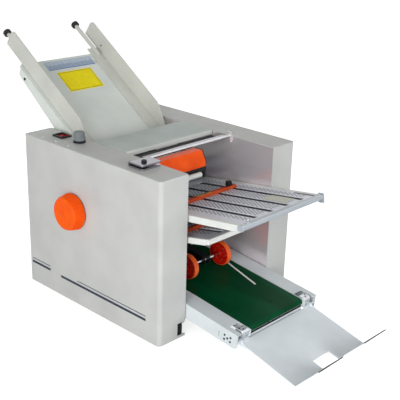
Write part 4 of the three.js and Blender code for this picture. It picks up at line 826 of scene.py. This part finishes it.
# Fold rollers with their urethane bands, feed roller, belts and motor
bandSizes = {"middles": range(-124, 125, 62), "half": 27, "inside": 20.2, "shoulder": 20.7, "top": 20.88}
b, inside, shoulder, top = (bandSizes[key] for key in ("half", "inside", "shoulder", "top"))
bandProfile = [(-b, inside), (-b, shoulder), (0.4 - b, top), (b - 0.4, top), (b, shoulder), (b, inside)]
for number, (y, z) in enumerate(rollerSpots, 1):
    node = f"fold_roller_{number}"
    addCopy(node, node + "_steel", "rollerSteel", "steel", 0.35, 1, node)
    bands = manyTurned(bandProfile, [(x, 0, 0) for x in bandSizes["middles"]], 48)
    addTurned(node + "_urethane_bands", bands, placeAt(0, y, z), "rollerUrethane", "rubber", body=node)
addCopy("feed_roller", "feed_roller_shaft", "rollerSteel", "rubber", 0.35, 1, "feed_roller")
sleeveSizes = {"half": 45, "inside": 24, "ends": 25.2, "land": 25.7, "groove": 25.15, "pitch": 6}
half, inside, ends = sleeveSizes["half"], sleeveSizes["inside"], sleeveSizes["ends"]
sleeve = [(-half, inside), (-half, ends)]
for x in range(-42, 42, sleeveSizes["pitch"]):
    sleeve += [(x, sleeveSizes["land"]), (x + 3.6, sleeveSizes["land"]), (x + 4.2, sleeveSizes["groove"]),
               (x + 5.4, sleeveSizes["groove"])]
sleeve += [(half, ends), (half, inside)]
addTurned("feed_roller_grooved_sleeve", turnedSolid(sleeve, 64, "x", True), placeAt(0, *feedRollerSpot),
          "rubber", "rubber", body="feed_roller")
for kind in ("feed", "drive"):
    addCopy(kind + "_belt", kind + "_toothed_belt", "rubber", "rubber", 0.3, 1)
motorSizes = {"at": (-166.7, 190, 104), "bell": 36, "radius": 42, "bellLength": 16, "length": 112,
              "ribs": 28, "rib": 3.4}
motorPlace = placeAt(*motorSizes["at"])
b, r, low, high = (motorSizes[key] for key in ("bell", "radius", "bellLength", "length"))
motorProfile = [(0, 6), (0, b - 3), (3, b), (low - 2, b), (low, r - 1), (low + 1, r), (high - 1, r),
                (high, r - 1), (high + 2, b), (high + low - 4, b), (high + low, b - 5), (high + low, 0),
                (24, 0), (24, 6)]
addTurned("black_motor", turnedSolid(motorProfile, 64), motorPlace, "motorPaint", "black", "motor")
addBars("motor_cooling_ribs", pointsOn(motorPlace, ringOf(motorSizes["ribs"], r, (low + high) / 2, "x"), 90),
        (motorSizes["rib"], motorSizes["rib"], high - low - 6, 6), "motorPaint", "black")
addCopy("motor_pulley", "motor_pulley_steel", "rollerSteel", "steel", 0.4, 1, "motor_pulley")
addCopy("power_inlet", "power_inlet_socket", "blackPlastic", "black")
print("rollers and motor ready")

# Feed table with its blank card and ruled scale, and the sliding side guides
addCopy("feed_table", "sheet_feed_table", "tablePaint", "table_grey", 0.6)
for side, _ in sides:
    addCopy(side + "_guide", side + "_paper_guide", "guidePaint", "table_grey", body=side + "_guide")
guideRod = {"x": 128, "height": 7, "cap": 12, "bore": 6.4, "capStart": 118, "capEnd": 132}
slidePlate = {"x": (93, 150), "yz": (-42, -28, -3.6, -2.4), "edge": 0.3}
# where each screw sits beside the middle, which way it faces, its radius and height
guideScrews = {"foot": ((143, -35, 3), 0, 3.4, 1.8), "wall": ((147, 8, 22), -90, 2.6, 1.4),
               "flange": ((163, -46, -14), 90, 4.2, 2.4)}
low, high, r, bore = (guideRod[key] for key in ("capStart", "capEnd", "cap", "bore"))
capProfile = [(low, bore), (low, r - 1.5), (low + 1.5, r), (high - 3, r), (high - 1, r - 1.4),
              (high, r - 3.5), (high, 0), (high - 5, 0), (high - 5, bore)]
for side, sign in sides:
    body = side + "_guide"
    addTurned(body + "_rubber_cap", turnedSolid(capProfile, 48, "y"),
              shifted(feedSlope, sign * guideRod["x"], 0, guideRod["height"]), "rubber", "rubber",
              body + "_cap", body=body)
    addFlat(body + "_slide_plate", brick(*across(sign, *slidePlate["x"]), *slidePlate["yz"]), feedSlope,
            "tablePaint", "table_grey", body=body, edge=slidePlate["edge"])
    for key, name, finish, rider in (("foot", body + "_foot_screw", "screwSteel", body),
                                     ("wall", body + "_wall_screw", "blackPlastic", body),
                                     ("flange", side + "_table_flange_screw", "blackPlastic", "chassis")):
        (x, y, z), facing, radius, height = guideScrews[key]
        spot = pointsOn(feedSlope, [(sign * x, y, z)], sign * facing)
        addScrews(name, spot, radius, height, finish, rider)
card = {"x": (-60, 68), "y": (-136, -55), "z": (0.03, 0.3), "lineZ": (0.2, 0.42), "border": 1.4,
        "inset": 3.4}
addFlat("table_blank_yellow_card", brick(*card["x"], *card["y"], *card["z"]), feedSlope, "yellowCard",
        "table_grey")
b = card["border"]
x0, y0 = card["x"][0] + card["inset"], card["y"][0] + card["inset"]
x1, y1 = card["x"][1] - card["inset"], card["y"][1] - card["inset"]
lines = [brick(*line, *card["lineZ"]) for line in ((x0, x1, y0, y0 + b), (x0, x1, y1 - b, y1),
                                                   (x0, x0 + b, y0 + b, y1 - b),
                                                   (x1 - b, x1, y0 + b, y1 - b))]
addFlat("table_card_border", joined(lines), feedSlope, "cardBorder", "black", weld=1e-6)
scaleMarks = {"x": (-77, 95), "line": -40, "pitch": 3, "lengths": {"long": 25, "mid": 20, "short": 15},
              "mark": (1.0, 0.24), "ground": (-80, 98, -44, -8, 0.03, 0.2),
              "base": (-79, 97, -42.8, -40.4, 0.1, 0.3)}
spots = {"long": [], "mid": [], "short": []}
for k in range(int((scaleMarks["x"][1] - scaleMarks["x"][0]) / scaleMarks["pitch"]) + 1):
    kind = "long" if k % 10 == 0 else "mid" if k % 5 == 0 else "short"
    middle = scaleMarks["line"] + scaleMarks["lengths"][kind] / 2
    spots[kind].append((scaleMarks["x"][0] + k * scaleMarks["pitch"], middle, 0.2))
for kind, length in scaleMarks["lengths"].items():
    size = [part * mm for part in (scaleMarks["mark"][0], length, scaleMarks["mark"][1])]
    addRepeats("table_scale_" + kind + "_marks", "blocks", pointsOn(feedSlope, spots[kind]), {"Size": size},
               "blueInk", "black")
addFlat("table_scale_pale_ground", brick(*scaleMarks["ground"]), feedSlope, "paleBlue", "table_grey")
addFlat("table_scale_line", brick(*scaleMarks["base"]), feedSlope, "blueInk", "black")
print("feed table ready")


# Fold plates: slotted decks, cream rails, a front bar, and their stops
deckSlots = {"places": (-84, -22, 40, 102), "half": 9, "front": 12, "rear": 30}
plateForm = {"deckHalf": 151, "sheet": 2.5, "lowerDeck": -5.5, "rail": (149.8, 160), "railTop": 1.25,
             "barHalf": 159.6, "barReach": 8, "screwX": 152, "screwHead": (3.0, 1.4)}
# lanes of dots between the slots: the middle of each and how many columns it has
deckDots = {"lanes": ((-109, 2), (-53, 4), (9, 4), (71, 4), (126, 2)), "gap": 9.6, "row": 7.5,
            "start": -38, "ends": 60, "size": (4.4, 4.4, 0.7, 8)}


def slottedDeck(reach, top):
    # a flat sheet with open slots along its length, all in quads
    edgesX = [-plateForm["deckHalf"]]
    for x in deckSlots["places"]:
        edgesX += [x - deckSlots["half"], x + deckSlots["half"]]
    edgesX.append(plateForm["deckHalf"])
    edgesY = [-reach, -reach + deckSlots["front"], -deckSlots["rear"], 0]
    bm = bmesh.new()
    grid = [[bm.verts.new((x, y, top)) for y in edgesY] for x in edgesX]
    faces = []
    for i in range(len(edgesX) - 1):
        for j in range(3):
            if j != 1 or i % 2 == 0:
                faces.append(bm.faces.new((grid[i][j], grid[i + 1][j], grid[i + 1][j + 1], grid[i][j + 1])))
    grown = bmesh.ops.extrude_face_region(bm, geom=faces)
    bmesh.ops.translate(bm, vec=(0, 0, -plateForm["sheet"]),
                        verts=[v for v in grown["geom"] if isinstance(v, bmesh.types.BMVert)])
    return bm


def makePlate(name, sizes, barFinish):
    place, reach, rail, bar = sizes["place"], sizes["reach"], sizes["rail"], sizes["bar"]
    top = plateForm["railTop"]
    addFlat(name + "_slotted_deck", slottedDeck(reach - 4, 0), place, "plateSteel", "steel", name + "_plate",
            edge=0.5)
    # the lower deck is drawn dark, as painted shade below the slots
    addFlat(name + "_lower_deck", slottedDeck(reach - 4, plateForm["lowerDeck"]), place, "paintedShadeSteel",
            "steel", edge=0.5)
    for side, sign in sides:
        outline = roundCorners(*across(sign, *plateForm["rail"]), top - rail, top, 1.2, 3)
        addFlat(f"{name}_{side}_rail", prism([(z, x) for x, z in outline], -reach + 7.6, 0, "y"), place,
                "railPaint", "cover_grey", edge=0.6)
    depth, half = plateForm["barReach"], plateForm["barHalf"]
    outline = roundCorners(-reach - depth, -reach + depth, top - bar, top, 2.4, 4)
    addFlat(name + "_front_bar", prism(outline, -half, half), place, barFinish, "steel", edge=0.6)
    ends = [(x, -reach, top) for x in (-plateForm["screwX"], plateForm["screwX"])]
    addScrews(name + "_front_bar_screws", pointsOn(place, ends), *plateForm["screwHead"])
    # the rows of small pressed dots that keep the sheets from clinging to the deck, drawn dark as painted
    # shade in their hollows
    gap, row, start = deckDots["gap"], deckDots["row"], deckDots["start"]
    dots = [(middle + (column - (count - 1) / 2 + (n % 2) / 2 - 0.25) * gap, start - row * n, 0)
            for middle, count in deckDots["lanes"] for column in range(count)
            for n in range(int((reach - deckDots["ends"]) / row))]
    addBars(name + "_deck_dots", pointsOn(place, dots), deckDots["size"], "paintedShadeSteel", "steel")


for name, sizes in plateSizes.items():
    makePlate(name, sizes, "barSteel" if name == "upper_front" else "railPaint")
upperPlace = plateSizes["upper_front"]["place"]
frontTrim = {
    "capX": (159.9, 162.6), "capY": (-423.5, -404.5), "capCorner": 3.5,
    "left": (-13, 1.25), "right": (-22, 5),
    "studAt": (-121, -404, 0), "stud": [(1.3, 0), (1.3, 4.6), (5.5, 4.6), (7, 3.4), (7, 0)],
    "card": (50, 94, -378, -302, 0.5, 0.9), "tab": (76, 94, -405.4, -398, 0.1, 0.5),
    "channel": (139, 147, -404, -340, 0.03, 0.4),
}
for side, sign in sides:
    outline = roundCorners(*frontTrim["capY"], *frontTrim[side], frontTrim["capCorner"], 4)
    addFlat("front_bar_" + side + "_end_plate", prism(outline, *across(sign, *frontTrim["capX"])), upperPlace,
            "barSteel", "steel", edge=0.5)
addTurned("front_bar_bright_stud", turnedSolid(frontTrim["stud"], 6, "z"),
          shifted(upperPlace, *frontTrim["studAt"]), "screwSteel", "bright_steel", sharpFrom=30)
addFlat("upper_plate_pale_card", brick(*frontTrim["card"]), upperPlace, "paleCard", "light_plastic")
addFlat("upper_plate_white_tab", brick(*frontTrim["tab"]), upperPlace, "railPaint", "light_plastic")
# a flat black strip on the deck: painted shade of a channel beside the rail
addFlat("upper_plate_painted_shade_channel", brick(*frontTrim["channel"]), upperPlace, "blackPaint", "black")
for name in plateSizes:
    addCopy(name + "_stop", name + "_fold_stop", "stopPlastic", "orange", 0.8, body=name + "_stop")
lock = {"x": 88, "y": -155, "base": 9.6, "radius": 8.6, "height": 14, "stem": 4.8, "ribs": 24, "rib": 1.4,
        "brass": (-40, 14, -4, 5.4, 8.8, 10.0)}
lockPlace = shifted(upperPlace, lock["x"], lock["y"], lock["base"])
r, h, stem = lock["radius"], lock["height"], lock["stem"]
lockProfile = [(-stem, 0), (-stem, 3), (0, 3), (0, r), (h - 2, r), (h - 0.5, r - 1.2), (h, r - 3), (h, 0)]
addTurned("fold_stop_black_lock_knob", turnedSolid(lockProfile, 48, "z"), lockPlace, "blackPlastic", "black",
          "stop_lock_knob", body="stop_lock_knob")
addBars("lock_knob_ribs", pointsOn(lockPlace, ringOf(lock["ribs"], r, h / 2 - 1)),
        (lock["rib"], lock["rib"], h - 3.4, 6), "blackPlastic", "black", "stop_lock_knob")
addFlat("fold_stop_brass_strip", brick(*lock["brass"]), shifted(upperPlace, 0, lock["y"], 0), "brass",
        "bright_steel", body="upper_front_stop", edge=0.3)
print("fold plates ready")

# Conveyor: side frames, bearing blocks, belt and rollers
for side, _ in sides:
    addCopy(side + "_conveyor_frame", side + "_belt_frame", "conveyorPaint", "cover_grey")
    addCopy(side + "_bearing_block", side + "_roller_block", "castZinc", "light_plastic", 2.0, 3)
beltSizes = {"length": 382, "radius": 8, "thickness": 1.5, "half": 109, "steps": 20}
beltRoller = {"end": 118, "shaft": 5, "shaftEnd": 4.4, "drum": 109.4, "radius": 7.7}


def loopBand(sizes):
    # an endless band: the outline of its outside joined to that of its inside
    bm = bmesh.new()
    rings = []
    for radius in (sizes["radius"] + sizes["thickness"], sizes["radius"] + 0.1):
        outline = (arcPoints(0, 0, radius, 90, 180, sizes["steps"])
                   + arcPoints(sizes["length"], 0, radius, -90, 180, sizes["steps"]))
        for x in (-sizes["half"], sizes["half"]):
            rings.append([bm.verts.new((x, y, z)) for y, z in outline])
    count = len(rings[0])
    for first, second in ((0, 1), (1, 3), (3, 2), (2, 0)):
        for i in range(count):
            j = (i + 1) % count
            bm.faces.new((rings[first][i], rings[first][j], rings[second][j], rings[second][i]))
    return bm


addTurned("green_conveyor_belt", loopBand(beltSizes), beltSlope, "beltGreen", "belt_green", "conveyor_belt",
          sharpFrom=50)
end, s, e, drum, r = (beltRoller[key] for key in ("end", "shaft", "shaftEnd", "drum", "radius"))
halfProfile = [(end, 0), (end, e), (end - 0.6, s), (drum, s), (drum, r - 0.3), (drum - 0.4, r)]
rollerProfile = [(-along, radius) for along, radius in halfProfile] + halfProfile[::-1]
for node, along in (("front_belt_roller", 0), ("rear_belt_roller", beltSizes["length"])):
    addTurned(node + "_steel", turnedSolid(rollerProfile), shifted(beltSlope, 0, along, 0), "rollerSteel",
              "steel", node, body=node)
beltTrim = {
    "frameFace": 163, "frameScrews": ((26, -9), (6, -8), (26, -21), (6, -20), (16, -14.5)),
    "seamX": (163.05, 163.35), "seam": (44.2, 45.2, -21, -7),
    "blockScrews": ((129, -4, 11), (136, 4, 11)),
    "pocketX": (114.2, 146.8), "pocketFloor": (-15.6, 26, -15.5, -14),
    "pocketShade": (9, 26, -13.9, -12.9), "shadePlate": (-111.6, 111.6, -444.6, -443, 41, 55.4),
    "apron": (-111.6, 111.6, -445.6, -444.7, 40.6, 50.6),
}
for side, sign in sides:
    spots = [(sign * beltTrim["frameFace"], y, z) for y, z in beltTrim["frameScrews"]]
    addScrews(side + "_belt_frame_screws", pointsOn(beltSlope, spots, sign * 90), 3, 1.2, "blackPlastic")
    addFlat(side + "_belt_frame_seam", brick(*across(sign, *beltTrim["seamX"]), *beltTrim["seam"]), beltSlope,
            "blackPaint", "black")
    spots = [(sign * x, y, z) for x, y, z in beltTrim["blockScrews"]]
    addScrews(side + "_roller_block_screws", pointsOn(beltSlope, spots), 2.3, 0.8, "blackPlastic")
# the open pockets round the bearing blocks, each with a black sheet of painted shade, and the plates that
# close the frame below the belt, the black one painted shade
for side, sign in sides:
    walls = across(sign, *beltTrim["pocketX"])
    addFlat(side + "_block_pocket_floor", brick(*walls, *beltTrim["pocketFloor"]), beltSlope, "trayPaint",
            "cover_grey")
    # a black sheet in the pocket: painted shade in the hollow round the block
    addFlat(side + "_block_pocket_painted_shade", brick(*walls, *beltTrim["pocketShade"]), beltSlope, "blackPaint",
            "black")
# a black plate just under the belt's front: painted shade below the belt
addFlat("belt_frame_painted_shade_plate", brick(*beltTrim["shadePlate"]), machine, "blackPaint", "black",
        edge=0.4)
addFlat("belt_frame_grey_apron", brick(*beltTrim["apron"]), machine, "trayPaint", "tray_grey", edge=0.3)

# Press wheels: urethane treads on red wheels with round lightening holes and bosses, a bright shaft and
# a black arm
pressWheel = {"tread": 35.5, "inner": 33.2, "half": 8, "web": 4, "bore": 5.3, "holes": 6, "holeAt": 20,
              "hole": 4.4, "hub": 9.4, "hubHalf": 9, "boss": 6.4, "bossInner": 4.5, "track": 66,
              "shaftHalf": 84, "shaft": 5}
ringSpots = ringOf(pressWheel["holes"], pressWheel["holeAt"], 0, "x")


def holedWheel(sizes):
    web, rim, edge, bore = sizes["web"], sizes["inner"] - 0.1, sizes["half"] - 0.6, sizes["bore"]
    profile = [(-web, bore), (-web, rim - 3), (-edge, rim - 2.4), (-edge, rim), (edge, rim),
               (edge, rim - 2.4), (web, rim - 3), (web, bore)]
    disc = newPiece("disc", turnedSolid(profile, 64, "x", True))
    hole = [(-20, 0), (-20, sizes["hole"]), (20, sizes["hole"]), (20, 0)]
    drills = newPiece("drills", manyTurned(hole, ringSpots, 24, False))
    cutter = disc.modifiers.new("holes", "BOOLEAN")
    cutter.object = drills
    cutter.solver = "EXACT"
    settle(disc)
    bpy.data.objects.remove(drills)
    bm = bmesh.new()
    bm.from_mesh(disc.data)
    bpy.data.objects.remove(disc)
    bm.transform(Matrix.Scale(1 / mm, 4))
    return bm


t, i, w, bore = (pressWheel[key] for key in ("tread", "inner", "half", "bore"))
treadProfile = [(-w, i), (-w, t - 2.2), (-w + 0.6, t - 1), (-w + 1.8, t - 0.3), (-w + 3, t), (w - 3, t),
                (w - 1.8, t - 0.3), (w - 0.6, t - 1), (w, t - 2.2), (w, i)]
h, r = pressWheel["hubHalf"], pressWheel["hub"]
hubProfile = [(-h, bore), (-h, r - 1.4), (1 - h, r), (h - 1, r), (h, r - 1.4), (h, bore)]
b, i, w = pressWheel["boss"], pressWheel["bossInner"], pressWheel["web"] + 0.05
bossProfile = [(-b, i), (-b, b - 1), (0.8 - b, b), (-w, b), (-w, i)]
for side, sign in sides:
    name = side + "_press_wheel"
    wheelSpot = shifted(pressPlace, sign * pressWheel["track"], 0, 0)
    web = softened(newPiece(name + "_red_web", holedWheel(pressWheel), wheelSpot), 0.5, 2, 40)
    dress(web, "wheelPlastic", "wheel_red", name, body="press_wheels")
    addTurned(name + "_tread", turnedSolid(treadProfile, 72, "x", True), wheelSpot, "treadRubber", "orange",
              body="press_wheels")
    addTurned(name + "_hub", turnedSolid(hubProfile, 40, "x", True), wheelSpot, "wheelPlastic", "wheel_red",
              body="press_wheels")
    addTurned(name + "_bosses", manyTurned(bossProfile, ringSpots, 24), wheelSpot, "wheelPlastic",
              "wheel_red", body="press_wheels")
half = pressWheel["shaftHalf"]
addTurned("press_wheel_bright_shaft", shaft(-half, half, pressWheel["shaft"]), pressPlace, "brightSteel",
          "bright_steel", "press_shaft", body="press_wheels")
addCopy("press_arm", "press_wheel_black_arm", "blackPaint", "black", 1.2, 3, "press_arm")


def wireShape(name, points, radiusMm):
    # a round bent wire along points in millimetres, closed at its ends
    path = bpy.data.curves.new(name, "CURVE")
    path.dimensions = "3D"
    line = path.splines.new("POLY")
    line.points.add(len(points) - 1)
    for spot, point in zip(line.points, points):
        spot.co = (*(machineMiddle + Vector(point) * mm), 1)
    path.bevel_depth = radiusMm * mm
    path.bevel_resolution = 3
    path.use_fill_caps = True
    holder = bpy.data.objects.new(name + "_path", path)
    scene.collection.objects.link(holder)
    graph = bpy.context.evaluated_depsgraph_get()
    mesh = bpy.data.meshes.new_from_object(holder.evaluated_get(graph), depsgraph=graph)
    bm = bmesh.new()
    bm.from_mesh(mesh)
    bpy.data.objects.remove(holder)
    bpy.data.meshes.remove(mesh)
    bmesh.ops.remove_doubles(bm, verts=bm.verts, dist=1e-6)
    bmesh.ops.recalc_face_normals(bm, faces=bm.faces)
    return rounded(asPiece(name, bm), 50)


# The steel wire that holds the sheets down on the belt, bent down from the lower plate's right rail
holdDown = {"radius": 2.2, "bends": [(92, -151, 243), (92, -152, 150), (91, -160, 122), (89, -185, 107),
                                     (86, -205, 104.2), (62, -322, 91.2)]}
dress(wireShape("sheet_hold_down_wire", holdDown["bends"], holdDown["radius"]), "railPaint", "bright_steel")

# Catch tray, with a dark strip of painted shade along the edge of its front lip, broken by the notch
addCopy("catch_tray", "sheet_catch_tray", "trayPaint", "tray_grey", 0.6, body="catch_tray")
trayLow, trayHigh = boxOf("catch_tray")
lipShade = {"notch": 46, "corner": 19, "out": 0.3, "in": 1.6, "down": 2.2, "up": 0.4, "edge": 0.4}
for side, sign in sides:
    end = trayHigh.x if sign > 0 else trayLow.x
    low, high = sorted((sign * lipShade["notch"], end - sign * lipShade["corner"]))
    lipShadeBrick = brick(low, high, trayLow.y - lipShade["out"], trayLow.y + lipShade["in"],
                 trayHigh.z - lipShade["down"], trayHigh.z + lipShade["up"])
    addFlat(side + "_tray_lip_painted_shade_edge", lipShadeBrick, machine, "rubber", "rubber", body="catch_tray",
            edge=lipShade["edge"])
print("conveyor and tray ready")

# every node that is still shown as it is gets its finish
plainFinishes = {
    "steel": "frameSteelPaintedReflection", "bright_steel": "brightSteel", "orange": "orangePlastic",
    "wheel_red": "wheelPlastic", "black": "blackPaint", "rubber": "rubber", "belt_green": "beltGreen",
    "tray_grey": "trayPaint", "maroon": "rockerPlastic", "knob_grey": "knobPlastic",
    "cover_grey": "coverPaint", "table_grey": "tablePaint", "light_plastic": "castZinc",
}
slotOfNode = {row["node"]: row["material_slot"] for row in frame["record"]["subparts"]}
for name, node in frame["nodes"].items():
    finish = finishes[plainFinishes[slotOfNode[name]]]
    if not node.data.materials:
        node.data.materials.append(finish)
    for index in range(len(node.data.materials)):
        node.data.materials[index] = finish
